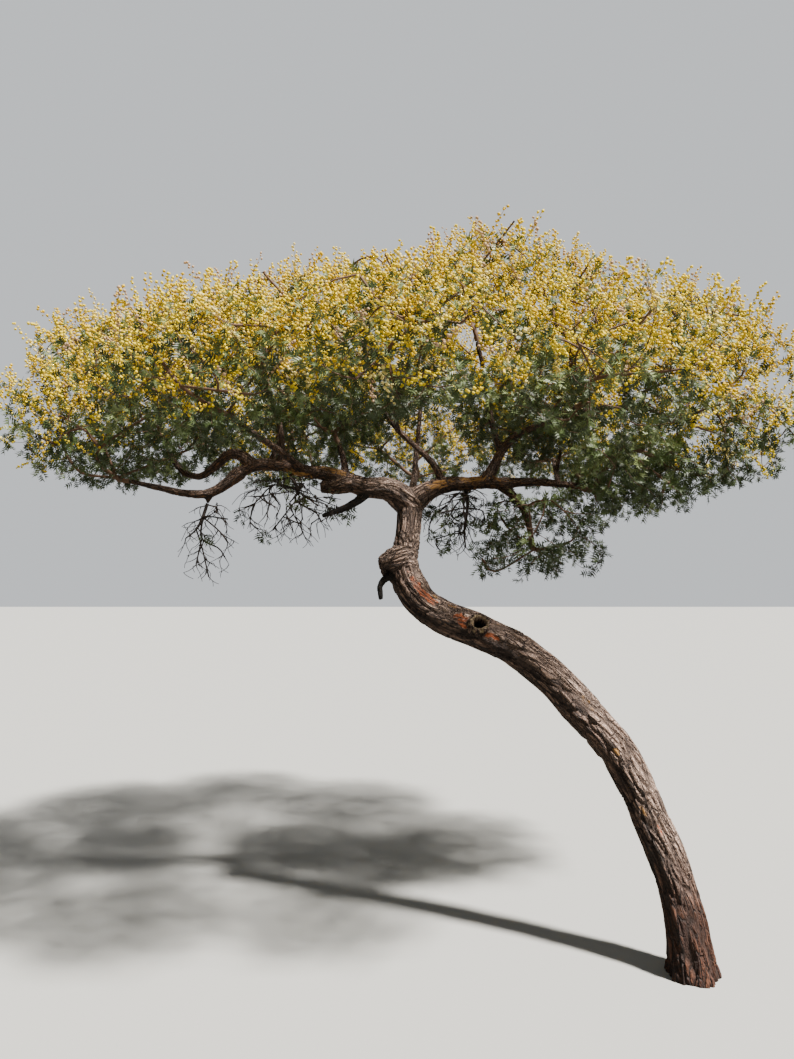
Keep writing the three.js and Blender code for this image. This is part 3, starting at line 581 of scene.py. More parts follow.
# %% Scars
SOCKET_RADIUS = 0.029
SOCKET_DEPTH = 0.06
SOCKET_FLOOR = 0.6
SOCKET_RAGGED = 0.35
RIM_WIDTH = 0.01
RIM_HEIGHT = 0.005
RIM_EVENNESS = 0.4
COLLAR_WEAR = 0.012
COLLAR_REACH = 0.06
FACE_THICKNESS = 0.022
COLLAR_THICKNESS = 0.04
PITS = np.array([(-0.795, 0.435, 1.402), (-0.758, 0.432, 1.392)])
PIT_RADIUS = 0.014
PIT_DEPTH = 0.02
BURL_HOLLOW = np.array([-1.205, 0.585, 1.556])
HOLLOW_RADIUS = 0.048
HOLLOW_DEPTH = 0.03
PRESSED_FLAT = 0.25
FLAKE_DEPTH = 0.005
FLAKE_EDGE = (0.55, 1.15)
FLAKE_RAGGED = 0.5
RAGGED_SIZE = 0.02

# Where inner bark shows: a point near it, half its length along the grain and half its width
RED_FLAKES = [
    ((-1.05, 0.56, 1.5), 0.13, 0.024), ((-1.0, 0.545, 1.44), 0.07, 0.022), ((-0.855, 0.455, 1.375), 0.06, 0.026),
    ((-0.84, 0.44, 1.33), 0.05, 0.016), ((-0.73, 0.42, 1.29), 0.06, 0.018), ((-0.09, 0.04, 0.54), 0.03, 0.008),
]
GOLD_FLAKES = [
    ((-0.97, 0.535, 1.475), 0.03, 0.01), ((-0.9, 0.51, 1.44), 0.05, 0.008), ((-0.7, 0.43, 1.33), 0.03, 0.012),
    ((-0.335, 0.225, 1.02), 0.05, 0.02), ((-0.24, 0.16, 0.83), 0.03, 0.014), ((-0.15, 0.1, 0.6), 0.035, 0.012),
    ((-0.93, 0.7, 2.03), 0.09, 0.03), ((-0.78, 0.71, 2.07), 0.12, 0.03), ((-0.6, 0.71, 2.08), 0.12, 0.028),
    ((-1.45, 0.7, 2.09), 0.12, 0.03), ((-1.65, 0.7, 2.06), 0.1, 0.03),
]


def flake_mask(corners, grain, flakes):
    """1 where the outer bark has flaked off, with an uneven edge."""
    mask = np.zeros(len(corners))
    ragged = FLAKE_RAGGED * rough_noise(corners / RAGGED_SIZE, 2)
    for point, half_length, half_width in flakes:
        middle = grain[np.argmin(((corners - np.array(point))**2).sum(1))]
        apart = (grain - middle) / (half_length, half_width, half_width)
        mask = np.maximum(mask, 1 - smoothstep(*FLAKE_EDGE, np.linalg.norm(apart, axis=1) + ragged))
    return mask


def press_in(corners, normals, centre, radius, depth):
    """Corners pressed in round a point, and how much each was pressed."""
    share = 1 - smoothstep(PRESSED_FLAT, 1, np.linalg.norm(corners - centre, axis=1) / radius)
    return corners - normals * (depth * share)[:, None], share


def open_socket(corners):
    """The socket in the knot's tip with its torn rim, and how far each corner lies in it."""
    knot = limbs["trunk_knot"]
    outward = knot.directions([1.0])[0]
    offsets = corners - knot.points([1.0])[0]
    height = offsets @ outward
    torn = rough_noise(corners / RAGGED_SIZE, 2)
    aside = np.linalg.norm(offsets - height[:, None] * outward, axis=1) * (1 + SOCKET_RAGGED * torn)
    on_face = height > -FACE_THICKNESS
    inside = np.where(on_face, 1 - smoothstep(SOCKET_FLOOR, 1.0, aside / SOCKET_RADIUS), 0)
    rim = np.where(on_face, np.exp(-((aside - SOCKET_RADIUS - RIM_WIDTH / 2) / (RIM_WIDTH / 2))**2), 0)
    worn_down = COLLAR_WEAR * (1 - smoothstep(SOCKET_RADIUS, COLLAR_REACH, aside)) * (height > -COLLAR_THICKNESS)
    raised = rim * RIM_HEIGHT * (RIM_EVENNESS + torn) - worn_down
    return corners + outward * (raised - SOCKET_DEPTH * inside)[:, None], inside, rim * (1 - inside)


def scarred(corners, normals):
    """The trunk's corners pressed in under the burl, at its pits and in its socket, which lie in these and which on a
    rim.
    """
    corners, painted_hollow_shade = press_in(corners, normals, BURL_HOLLOW, HOLLOW_RADIUS, HOLLOW_DEPTH)
    for pit in PITS:
        corners, pressed = press_in(corners, normals, pit, PIT_RADIUS, PIT_DEPTH)
        painted_hollow_shade = np.maximum(painted_hollow_shade, pressed)
    corners, socket, rim = open_socket(corners)
    # The mask of the pressed-in places is kept for painted shade in them
    return corners, np.maximum(painted_hollow_shade, socket), rim


print("places where inner bark shows:", len(RED_FLAKES) + len(GOLD_FLAKES))

# %% [markdown]
# ## Wood in place
# Now the grain, the relief and the scars are put on the three skins. The trunk's foot also gets the lobes with which
# a tree runs out into its roots, and is cut flat where it stands on the ground. Masks of the scars are kept on the
# mesh, so that the material later shows each of them in its own colour, and the hollows in painted shade. At last
# each skin takes the place of the solids that it wraps.

# %% Wood meshes
LOBES = 5
LOBE_DEPTH = 0.1
LOBES_END = 3 * FLARE_HEIGHT
RELIEF_LOST = 0.6
# The direction towards the sun: bark facing it is painted pale, as bleaching and painted light, and bark facing away
# is painted dark, as painted shade
SUN_SIDE = (0.45, -0.2, 0.85)


def read_corners(mesh, what="co"):
    """The places of a mesh's corners, or their normals."""
    values = np.empty(len(mesh.vertices) * 3)
    mesh.vertices.foreach_get(what, values)
    return values.reshape(-1, 3)


def keep_values(mesh, name, values):
    """Values kept on the corners of a mesh, for its material to read."""
    kind = "FLOAT_VECTOR" if values.ndim == 2 else "FLOAT"
    store = mesh.attributes.new(name, kind, "POINT")
    store.data.foreach_set("vector" if values.ndim == 2 else "value", values.astype(np.float32).ravel())


def foot_lobes(corners):
    """The lobes of the root flare, outward from the trunk's middle line near the ground."""
    angles = np.arctan2(corners[:, 1], corners[:, 0])
    fade = np.exp(-np.maximum(corners[:, 2], 0) / FLARE_HEIGHT)
    outward = unit(corners * (1, 1, 0))
    foot_radius = limbs["trunk"].radii[0]
    lobes = LOBE_DEPTH * foot_radius * fade * np.cos(LOBES * angles)
    return np.where((corners[:, 2] < LOBES_END)[:, None], outward * lobes[:, None], 0)


def carve(mesh, group):
    """Gives a skin its grain, its relief and its scars."""
    stations = Stations(group)
    corners = read_corners(mesh)
    normals = read_corners(mesh, "normal")
    grain, near = grain_of(corners, stations)
    radii = stations.radii[near]
    out, ridge = bark_relief(corners, grain, radii)
    red = gold = painted_hollow_shade = rim = np.zeros(len(corners))
    if "trunk" in group:
        red, gold = flake_mask(corners, grain, RED_FLAKES), flake_mask(corners, grain, GOLD_FLAKES)
        out = out * (1 - RELIEF_LOST * red) - FLAKE_DEPTH * red
        corners = corners + foot_lobes(corners)
    corners = corners + normals * out[:, None]
    if "trunk" in group:
        corners, painted_hollow_shade, rim = scarred(corners, normals)
    mesh.vertices.foreach_set("co", corners.ravel())
    # How far each corner faces the sun is kept too, for painted light and painted shade on the bark
    kept = {"ridge": ridge, "red": red, "gold": gold, "painted_hollow_shade": painted_hollow_shade, "rim": rim, "thickness": radii,
            "sun_facing": normals @ unit(SUN_SIDE), "grain": grain}
    for name, values in kept.items():
        keep_values(mesh, name, values)
    mesh.shade_smooth()
    mesh.update()


def cut_flat(mesh):
    """Cuts the trunk flat at the ground, and closes the cut."""
    work = bmesh.new()
    work.from_mesh(mesh)
    everything = work.verts[:] + work.edges[:] + work.faces[:]
    cut = bmesh.ops.bisect_plane(work, geom=everything, plane_co=(0, 0, 0), plane_no=(0, 0, -1), clear_outer=True)
    edges = [each for each in cut["geom_cut"] if isinstance(each, bmesh.types.BMEdge)]
    bmesh.ops.holes_fill(work, edges=edges)
    work.to_mesh(mesh)
    work.free()


def place_piece(name, mesh, replaced):
    """A piece of the tree in the scene, riding on the frame in place of some of its solids."""
    piece = bpy.data.objects.new(name, mesh)
    scene.collection.objects.link(piece)
    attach(piece, "root")
    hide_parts(*[node for node in replaced if node in frame["nodes"]])
    print(name, len(mesh.polygons), "faces, in place of", len(replaced), "limbs or masses")


for mesh, group in ((thick_skin, THICK_GROUP), (thin_skin, THIN_GROUP), (dead_skin, DEAD_GROUP)):
    carve(mesh, group)
cut_flat(thick_skin)
place_piece("trunk_and_boughs", thick_skin, THICK_GROUP)
place_piece("crown_limbs", thin_skin, THIN_GROUP)
place_piece("dead_limb_and_stub", dead_skin, DEAD_GROUP)

# %% [markdown]
# ## Node groups for wood
# Living bark and dead wood share three effects, so each effect is a node group that is built once and placed in both
# materials with its own values. The first draws streaks and flecks that follow the grain kept on the mesh. The
# second draws cracks that are too thin for the mesh, between long cells like those of the relief. The third turns
# all of them into colour: dark in the cracks, mottled on the ridges and pale in flecks, as wear and, on the living
# bark, as painted light on the side towards the sun.

# %% Node helpers
def add_node(tree, kind, **settings):
    """A new node with some of its settings."""
    made = tree.nodes.new(kind)
    for setting, value in settings.items():
        setattr(made, setting, value)
    return made


def feed(tree, socket, value):
    """Links a socket to another node's socket, or sets it to a plain value."""
    if isinstance(value, bpy.types.NodeSocket):
        tree.links.new(value, socket)
    else:
        socket.default_value = value


def mixed(tree, share, one, other):
    """The colour between two colours."""
    mix = add_node(tree, "ShaderNodeMix", data_type="RGBA")
    first, second, result = MIX_SOCKETS["RGBA"]
    feed(tree, mix.inputs["Factor"], share)
    feed(tree, mix.inputs[first], one)
    feed(tree, mix.inputs[second], other)
    return mix.outputs[result]


def remapped(tree, value, low, high, to_low=0.0, to_high=1.0):
    """A value's place between two others, softened at both ends."""
    ramp = add_node(tree, "ShaderNodeMapRange", interpolation_type="SMOOTHSTEP")
    settings = (("Value", value), ("From Min", low), ("From Max", high), ("To Min", to_low), ("To Max", to_high))
    for label, each in settings:
        feed(tree, ramp.inputs[label], each)
    return ramp.outputs["Result"]


def computed(tree, operation, one, other):
    """A value worked out from two others."""
    math_node = add_node(tree, "ShaderNodeMath", operation=operation)
    feed(tree, math_node.inputs[0], one)
    feed(tree, math_node.inputs[1], other)
    return math_node.outputs[0]


def vectors(tree, operation, one, other=(0, 0, 0)):
    """A vector worked out from two others, or a value for an operation that gives one."""
    math_node = add_node(tree, "ShaderNodeVectorMath", operation=operation)
    feed(tree, math_node.inputs[0], one)
    feed(tree, math_node.inputs[1], other)
    return math_node.outputs["Value" if operation in ("LENGTH", "DOT_PRODUCT") else "Vector"]


def kept_on_mesh(tree, name, vector=False):
    """Values that a mesh keeps on its corners."""
    attribute = add_node(tree, "ShaderNodeAttribute", attribute_name=name)
    return attribute.outputs["Vector" if vector else "Fac"]


def new_group(name, inputs, outputs):
    """An empty node group, what it is given and what it has to fill in."""
    group = bpy.data.node_groups.new(name, "ShaderNodeTree")
    for label, kind, value in inputs:
        socket = group.interface.new_socket(label, in_out="INPUT", socket_type="NodeSocket" + kind)
        socket.default_value = value
    for label, kind in outputs:
        group.interface.new_socket(label, in_out="OUTPUT", socket_type="NodeSocket" + kind)
    return group, group.nodes.new("NodeGroupInput").outputs, group.nodes.new("NodeGroupOutput").inputs


def placed(tree, group, **values):
    """A node group in a material, with its own values."""
    made = add_node(tree, "ShaderNodeGroup", node_tree=group)
    for label, value in values.items():
        feed(tree, made.inputs[label.replace("_", " ").capitalize()], value)
    return made.outputs


# %% Grain streaks
STREAK_ROUGHNESS = 0.62

# Each pattern's name, how much finer it is than the given fineness, and its detail
STREAK_PATTERNS = (("Streaks", 1.0, 5), ("Flecks", 3.2, 3))


def build_streaks():
    """Long streaks and small flecks of noise, stretched along the grain."""
    group, given, result = new_group(
        "grain_streaks",
        [("Grain", "Vector", (0, 0, 0)), ("Fineness", "Float", 100), ("Stretch", "Float", 5)],
        [("Streaks", "Float"), ("Flecks", "Float")])
    squeeze = add_node(group, "ShaderNodeCombineXYZ")
    feed(group, squeeze.inputs["X"], computed(group, "DIVIDE", 1.0, given["Stretch"]))
    squeeze.inputs["Y"].default_value = 1
    squeeze.inputs["Z"].default_value = 1
    along = vectors(group, "MULTIPLY", given["Grain"], squeeze.outputs[0])
    for label, times, detail in STREAK_PATTERNS:
        pattern = add_node(group, "ShaderNodeTexNoise")
        feed(group, pattern.inputs["Vector"], along)
        feed(group, pattern.inputs["Scale"], computed(group, "MULTIPLY", given["Fineness"], times))
        pattern.inputs["Detail"].default_value = detail
        pattern.inputs["Roughness"].default_value = STREAK_ROUGHNESS
        feed(group, result[label], pattern.outputs["Fac"])
    return group


streaks_group = build_streaks()
print("nodes for the streaks:", len(streaks_group.nodes))

# %% [markdown]
# ## Cracks of an even width
# A crack runs midway between the two nearest points of a Voronoi pattern. Where the pattern is stretched, a crack
# across the grain would come out much wider than one along it, so the distance to the crack is worked out in metres,
# from the places of both points, as in the relief. Waves bend the cracks, and each ridge between them gets a tone.

# %% Cracks
WAVE_SCALE = 1.3
MIDDLE_GREY = (0.5, 0.5, 0.5)
TONE_WEIGHTS = (0.5, 0.3, 0.2)


def wavy_cells(group, given, size):
    """The grain measured in ridges of a size, and bent by slow waves."""
    cells = vectors(group, "DIVIDE", given["Grain"], size)
    waves = add_node(group, "ShaderNodeTexNoise")
    waves.inputs["Scale"].default_value = WAVE_SCALE
    feed(group, waves.inputs["Vector"], cells)
    bend = vectors(group, "SUBTRACT", waves.outputs["Color"], MIDDLE_GREY)
    amount = add_node(group, "ShaderNodeVectorMath", operation="SCALE")
    feed(group, amount.inputs[0], bend)
    feed(group, amount.inputs["Scale"], given["Waviness"])
    return vectors(group, "ADD", cells, amount.outputs["Vector"])


def build_cracks():
    """How much a place is crack, and the tone of the ridge that it lies on."""
    group, given, result = new_group(
        "bark_cracks",
        [("Grain", "Vector", (0, 0, 0)), ("Ridge length", "Float", 0.15), ("Ridge width", "Float", 0.02),
         ("Crack width", "Float", 0.003), ("Waviness", "Float", 0.5)],
        [("Crack", "Float"), ("Tone", "Float")])
    size = add_node(group, "ShaderNodeCombineXYZ")
    for axis, label in (("X", "Ridge length"), ("Y", "Ridge width"), ("Z", "Ridge width")):
        feed(group, size.inputs[axis], given[label])
    cells = wavy_cells(group, given, size.outputs[0])
    points, squares = [], []
    for feature in ("F1", "F2"):
        pattern = add_node(group, "ShaderNodeTexVoronoi", feature=feature)
        pattern.inputs["Scale"].default_value = 1
        feed(group, pattern.inputs["Vector"], cells)
        points.append(pattern.outputs["Position"])
        squares.append(computed(group, "POWER", pattern.outputs["Distance"], 2.0))
        if feature == "F1":
            feed(group, result["Tone"], vectors(group, "DOT_PRODUCT", pattern.outputs["Color"], TONE_WEIGHTS))
    between = vectors(group, "DIVIDE", vectors(group, "SUBTRACT", points[1], points[0]), size.outputs[0])
    twice = computed(group, "MULTIPLY", vectors(group, "LENGTH", between), 2.0)
    to_crack = computed(group, "DIVIDE", computed(group, "SUBTRACT", squares[1], squares[0]), twice)
    feed(group, result["Crack"], remapped(group, to_crack, 0.0, given["Crack width"], 1.0, 0.0))
    return group


cracks_group = build_cracks()
print("nodes for the cracks:", len(cracks_group.nodes))

# %% [markdown]
# ## Weathered wood
# Old wood is never one colour. Streaks and the tones of the ridges mottle it between a paler face and a deeper shade,
# flecks of it are made pale by a share that is wear and, on the living bark, painted light towards the sun, and the
# cracks are nearly black. The group takes these four colours and the patterns, and also adds the patterns up to a
# height for a Bump node. It could be written twice, in the bark's material and in the dead wood's, but one group
# keeps the two alike.

# %% Weathering
STREAK_SHARE = 0.65
RIDGE_SHARE = 0.35
MOTTLE_RANGE = (0.4, 0.58)
FINE_CRACK_DARKNESS = 0.75
STREAK_HEIGHT = 0.5
FINE_CRACK_HEIGHT = 0.25


def build_weathering():
    """The colour and the fine height of wood, from its patterns and four plain colours."""
    group, given, result = new_group(
        "weathered_bark",
        [("Crack", "Float", 0), ("Fine crack", "Float", 0), ("Tone", "Float", 0.5), ("Streaks", "Float", 0.5),
         ("Flecks", "Float", 0.5), ("Wear", "Float", 0.5), ("Face", "Color", (0.3, 0.2, 0.15, 1)),
         ("Shade", "Color", (0.12, 0.07, 0.05, 1)), ("Furrow", "Color", (0.04, 0.02, 0.015, 1)),
         ("Worn", "Color", (0.6, 0.45, 0.35, 1))],
        [("Colour", "Color"), ("Height", "Float")])
    tone = computed(group, "ADD", computed(group, "MULTIPLY", given["Streaks"], STREAK_SHARE),
                    computed(group, "MULTIPLY", given["Tone"], RIDGE_SHARE))
    mottled = mixed(group, remapped(group, tone, *MOTTLE_RANGE), given["Shade"], given["Face"])
    # On the living bark this share is wear and also painted light towards the sun
    worn_and_lit_share = computed(group, "MULTIPLY", remapped(group, given["Flecks"], *MOTTLE_RANGE), given["Wear"])
    worn = mixed(group, worn_and_lit_share, mottled, given["Worn"])
    finely = computed(group, "MULTIPLY", given["Fine crack"], FINE_CRACK_DARKNESS)
    cracked = computed(group, "MAXIMUM", given["Crack"], finely)
    feed(group, result["Colour"], mixed(group, cracked, worn, given["Furrow"]))
    height = computed(group, "SUBTRACT", computed(group, "MULTIPLY", given["Streaks"], STREAK_HEIGHT),
                      computed(group, "MULTIPLY", given["Fine crack"], FINE_CRACK_HEIGHT))
    feed(group, result["Height"], computed(group, "SUBTRACT", height, given["Crack"]))
    return group


weathering_group = build_weathering()
print("node groups:", [group.name for group in bpy.data.node_groups])

# %% [markdown]
# ## Bark
# The trunk is grey-brown with a pink cast, the limbs are more orange, and soil splashed by rain stains the foot
# red-brown. All three have the same cracks, finer on thinner limbs, so one material turns from one colour to the next
# by the limb's thickness and by the height above the ground. The side towards the sun is painted pale, as bleaching
# and as painted light, and the far side dark, as painted shade. The scars' masks then bring in red and gold inner
# bark, broken up by the streaks, the pale rim, and painted black shade in the hollows. Cracks and streaks also feed
# a Bump node, for relief too fine for the mesh.

# %% Bark material
TRUNK_FACE = (0.28, 0.17, 0.125, 1)
TRUNK_SHADE = (0.07, 0.038, 0.024, 1)
LIMB_FACE = (0.36, 0.16, 0.06, 1)
LIMB_SHADE = (0.09, 0.04, 0.022, 1)
FOOT_FACE = (0.16, 0.06, 0.03, 1)
FOOT_SHADE = (0.075, 0.024, 0.015, 1)
FURROW_COLOUR = (0.022, 0.012, 0.009, 1)
# Pale flecks: worn bark, and painted light on the side towards the sun
WORN_AND_LIT_COLOUR = (0.79, 0.56, 0.44, 1)
RED_BARK = (0.52, 0.13, 0.045, 1)
GOLD_BARK = (0.6, 0.3, 0.08, 1)
RIM_COLOUR = (0.8, 0.6, 0.32, 1)
# The hollows, the pits and the socket are painted almost black, as painted shade
PAINTED_HOLLOW_SHADE = (0.006, 0.004, 0.003, 1)
BARK_ROUGHNESS = (0.95, 0.7)
BARK_BUMP = 0.008
LIMB_RADIUS = (0.06, 0.03)
STAIN_HEIGHT = (0.55, 0.2)
# How far bark faces the sun, and the most that it is painted pale there, as bleaching and painted light
SUN_FACING_RANGE = (-0.35, 0.7)
MOST_WEAR_AND_LIGHT = 0.9
FURROW_DARKNESS = 0.85
FLAKE_SHOWN = (1.2, 1.5)
FLECK_RANGE = (0.3, 0.7)
THINNEST_RADIUS = 0.015
FINEST_PATTERN = 0.4

# Ridge and fine ridge are told by length, width and the width of the crack between two
BARK_PATTERN = {"fineness": 110.0, "stretch": 2.2, "ridge": (0.085, 0.022, 0.0035),
                "fine_ridge": (0.024, 0.008, 0.0016)}


def bump_from(tree, shader, height, distance):
    """Relief in the shading alone, at most a distance high."""
    bump = add_node(tree, "ShaderNodeBump")
    bump.inputs["Distance"].default_value = distance
    bump.inputs["Strength"].default_value = 1
    feed(tree, bump.inputs["Height"], height)
    feed(tree, shader.inputs["Normal"], bump.outputs["Normal"])


def wood_patterns(tree, fineness, stretch, ridge, fine_ridge):
    """Streaks, cracks and fine cracks on the grain, finer where the limb is thin."""
    grain = kept_on_mesh(tree, "grain", vector=True)
    thickness = kept_on_mesh(tree, "thickness")
    scale = remapped(tree, thickness, THINNEST_RADIUS, FULL_SIZE_RADIUS, FINEST_PATTERN, 1.0)
    streaks = placed(tree, streaks_group, grain=grain, fineness=fineness, stretch=stretch)
    cracks = []
    for length, width, crack in (ridge, fine_ridge):
        cracks.append(placed(tree, cracks_group, grain=grain, ridge_length=computed(tree, "MULTIPLY", scale, length),
                             ridge_width=computed(tree, "MULTIPLY", scale, width), crack_width=crack))
    return streaks, *cracks


def scar_colours(tree, colour, streaks):
    """A colour with the scars' colours laid over it: inner bark, the socket's rim, and painted shade in the hollows.
    """
    for mask, inner in (("gold", GOLD_BARK), ("red", RED_BARK)):
        broken = computed(tree, "ADD", kept_on_mesh(tree, mask), streaks)
        showing = computed(tree, "MULTIPLY", remapped(tree, broken, *FLAKE_SHOWN), kept_on_mesh(tree, "ridge"))
        colour = mixed(tree, showing, colour, inner)
    colour = mixed(tree, computed(tree, "MULTIPLY", kept_on_mesh(tree, "rim"), streaks), colour, RIM_COLOUR)
    # Painted shade: the hollows turn almost black
    return mixed(tree, kept_on_mesh(tree, "painted_hollow_shade"), colour, PAINTED_HOLLOW_SHADE)


def bark_material():
    """One material for all living wood, from the stained foot to the thin limbs."""
    material, shader = new_material("bark", TRUNK_FACE, BARK_ROUGHNESS[0])
    tree = material.node_tree
    streaks, cracks, fine = wood_patterns(tree, **BARK_PATTERN)
    place = add_node(tree, "ShaderNodeSeparateXYZ")
    feed(tree, place.inputs[0], add_node(tree, "ShaderNodeTexCoord").outputs["Object"])
    thin = remapped(tree, kept_on_mesh(tree, "thickness"), *LIMB_RADIUS)
    stain = remapped(tree, place.outputs["Z"], *STAIN_HEIGHT)
    face = mixed(tree, stain, mixed(tree, thin, TRUNK_FACE, LIMB_FACE), FOOT_FACE)
    shade = mixed(tree, stain, mixed(tree, thin, TRUNK_SHADE, LIMB_SHADE), FOOT_SHADE)
    # Painted light: facing the sun, flecks are painted pale, as bleaching and painted light
    sun_facing = remapped(tree, kept_on_mesh(tree, "sun_facing"), *SUN_FACING_RANGE, 0.0, MOST_WEAR_AND_LIGHT)
    wear = computed(tree, "MULTIPLY", sun_facing, computed(tree, "SUBTRACT", 1.0, stain))
    furrows = computed(tree, "SUBTRACT", 1.0, kept_on_mesh(tree, "ridge"))
    crack = computed(tree, "MAXIMUM", cracks["Crack"], computed(tree, "MULTIPLY", furrows, FURROW_DARKNESS))
    # Painted shade: facing away from the sun, the darker colour turns to the furrows' near black
    shade = mixed(tree, sun_facing, FURROW_COLOUR, shade)
    colours = placed(tree, weathering_group, crack=crack, fine_crack=fine["Crack"], tone=cracks["Tone"],
                     streaks=streaks["Streaks"], flecks=streaks["Flecks"], wear=wear, face=face, shade=shade,
                     furrow=FURROW_COLOUR, worn=WORN_AND_LIT_COLOUR)
    feed(tree, shader.inputs["Base Color"], scar_colours(tree, colours["Colour"], streaks["Streaks"]))
    feed(tree, shader.inputs["Roughness"], remapped(tree, streaks["Flecks"], *FLECK_RANGE, *BARK_ROUGHNESS))
    bump_from(tree, shader, colours["Height"], BARK_BUMP)
    return material


bark = bark_material()
for mesh in (thick_skin, thin_skin):
    mesh.materials.append(bark)
print("bark nodes:", len(bark.node_tree.nodes))

# %% [markdown]
# ## Dead wood
# The broken limb under the left bough and the stub under the burl died long ago. Their bark has fallen, the bare wood
# is dark with age and painted darker still as painted shade, so that it is nearly black, and it splits along the
# grain into long, narrow strips. The same three groups make it, with other values: longer and finer streaks and
# cracks, and hardly any wear.

# %% Dead wood material
DEAD_ROUGHNESS = 0.9
DEAD_BUMP = 0.003
DEAD_PATTERN = {"fineness": 200.0, "stretch": 7.0, "ridge": (0.1, 0.012, 0.002), "fine_ridge": (0.04, 0.005, 0.001)}
# These colours are darker than the dead wood's own, as painted shade
DEAD_LOOK_WITH_PAINTED_SHADE = {"wear": 0.06, "face": (0.036, 0.025, 0.02, 1), "shade": (0.018, 0.013, 0.01, 1),
             "furrow": (0.008, 0.006, 0.005, 1), "worn": (0.16, 0.12, 0.1, 1)}


def dead_wood_material():
    """The material of bare, dead wood."""
    material, shader = new_material("dead_wood", FURROW_COLOUR, DEAD_ROUGHNESS)
    tree = material.node_tree
    streaks, cracks, fine = wood_patterns(tree, **DEAD_PATTERN)
    colours = placed(tree, weathering_group, crack=cracks["Crack"], fine_crack=fine["Crack"], tone=cracks["Tone"],
                     streaks=streaks["Streaks"], flecks=streaks["Flecks"], **DEAD_LOOK_WITH_PAINTED_SHADE)
    feed(tree, shader.inputs["Base Color"], colours["Colour"])
    bump_from(tree, shader, colours["Height"], DEAD_BUMP)
    return material


dead_skin.materials.append(dead_wood_material())
print("dead wood nodes:", len(dead_skin.materials[0].node_tree.nodes))

# %% [markdown]
# ## The crown's masses
# The photograph shows the crown as rounded masses of foliage, each at the end of a limb. Every mass keeps to its
# own space: an ellipsoid under the crown's rounded top, cut by a flat wall where two would meet. The middles are
# told as shares of the crown's half width and half depth with a height, as in the solids' source, and the radii
# are in metres. The crown's top is told by its heights over the width, and falls to the front and the back.

# %% Mass data
CROWN_WIDTH = 4.05
CROWN_DEPTH = 3.4
CROWN_MIDDLE = np.array([-1.085, 0.9, 0])
CROWN_TOP = np.array([
    (-1, 2.79), (-0.9, 2.94), (-0.65, 3.06), (-0.45, 3.18), (-0.2, 3.27), (0, 3.29),
    (0.13, 3.44), (0.42, 3.36), (0.52, 3.19), (0.75, 3.14), (0.85, 2.98), (1, 2.76)])
FRONT_FALL = 0.42
BACK_FALL = 0.2

MASSES = [
    ("low_left_end", "bough_left_low", "leafy", (-0.73, -0.06, 2.32), (0.66, 0.69, 0.34)),
    ("low_left_front", "limb_left_front", "leafy", (-0.43, -0.53, 2.42), (0.58, 0.6, 0.33)),
    ("low_left_back", "limb_left_back", "leafy", (-0.38, 0.49, 2.43), (0.63, 0.65, 0.35)),
    ("low_middle", "limb_low_middle", "leafy", (-0.195, -0.03, 2.46), (0.43, 0.52, 0.27)),
    ("low_middle_front", "limb_middle_front", "leafy", (-0.02, -0.63, 2.46), (0.54, 0.53, 0.32)),
    ("low_middle_back", "limb_back", "leafy", (0.03, 0.72, 2.46), (0.63, 0.56, 0.34)),
    ("low_right_front", "limb_right_front", "leafy", (0.4, -0.55, 2.43), (0.58, 0.6, 0.35)),
    ("low_right_back", "limb_right_back", "leafy", (0.437, 0.52, 2.42), (0.63, 0.65, 0.35)),
    ("low_right_middle", "limb_right_middle", "leafy", (0.323, -0.03, 2.44), (0.48, 0.52, 0.28)),
    ("low_right_outer", "bough_right_outer", "leafy", (0.546, -0.07, 2.07), (0.48, 0.5, 0.23)),
    ("low_right_end", "limb_droop", "leafy", (0.765, 0.03, 2.32), (0.58, 0.69, 0.34)),
    ("hanging_right", "bough_right_hang", "leafy", (0.29, -0.094, 1.755), (0.51, 0.48, 0.245)),
    ("bloom_left_end", "bough_left_high", "bloom", (-0.705, -0.03, 2.72), (0.65, 0.71, 0.33)),
    ("bloom_left_front", "limb_left_rise", "bloom", (-0.388, -0.3, 2.765), (0.54, 0.6, 0.33)),
    ("bloom_left_back", "limb_left_back_high", "bloom", (-0.345, 0.33, 2.85), (0.62, 0.65, 0.32)),
    ("bloom_middle", "limb_middle", "bloom", (-0.121, -0.03, 2.96), (0.46, 0.56, 0.31)),
    ("bloom_front", "limb_front_high", "bloom", (0.05, -0.45, 2.85), (0.56, 0.54, 0.33)),
    ("bloom_back", "limb_back_high", "bloom", (0.055, 0.47, 2.95), (0.6, 0.6, 0.34)),
    ("bloom_peak", "limb_peak", "bloom", (0.131, 0.06, 3.07), (0.46, 0.48, 0.4)),
    ("bloom_right", "bough_right_rise", "bloom", (0.42, -0.06, 2.95), (0.52, 0.56, 0.35)),
    ("bloom_right_back", "limb_right_back_high", "bloom", (0.47, 0.36, 2.86), (0.58, 0.58, 0.33)),
    ("bloom_right_end", "limb_right_end", "bloom", (0.745, -0.06, 2.76), (0.59, 0.65, 0.34)),
    ("dead_twigs_left_end", "peg_left_end", "bare", (-0.49, -0.124, 1.725), (0.165, 0.19, 0.235)),
    ("dead_twigs_left", "peg_left", "bare", (-0.29, -0.118, 1.88), (0.31, 0.25, 0.2)),
    ("dead_twigs_right", "peg_right", "bare", (0.126, -0.088, 1.815), (0.23, 0.24, 0.205)),
]
for kind in ("leafy", "bloom", "bare"):
    print(kind, "masses:", sum(row[2] == kind for row in MASSES))

# %% [markdown]
# ## One rule for all twigs
# Real twigs share the light: each grows where no other is yet. A sequence of numbers that fills a space evenly, here
# the one named after Halton, gives points to grow to, in the same order on every run. The rule is the one that made
# the solids, so the first twigs here lie where theirs do. Points that would lie in a limb or in the neighbour's
# space are passed over.

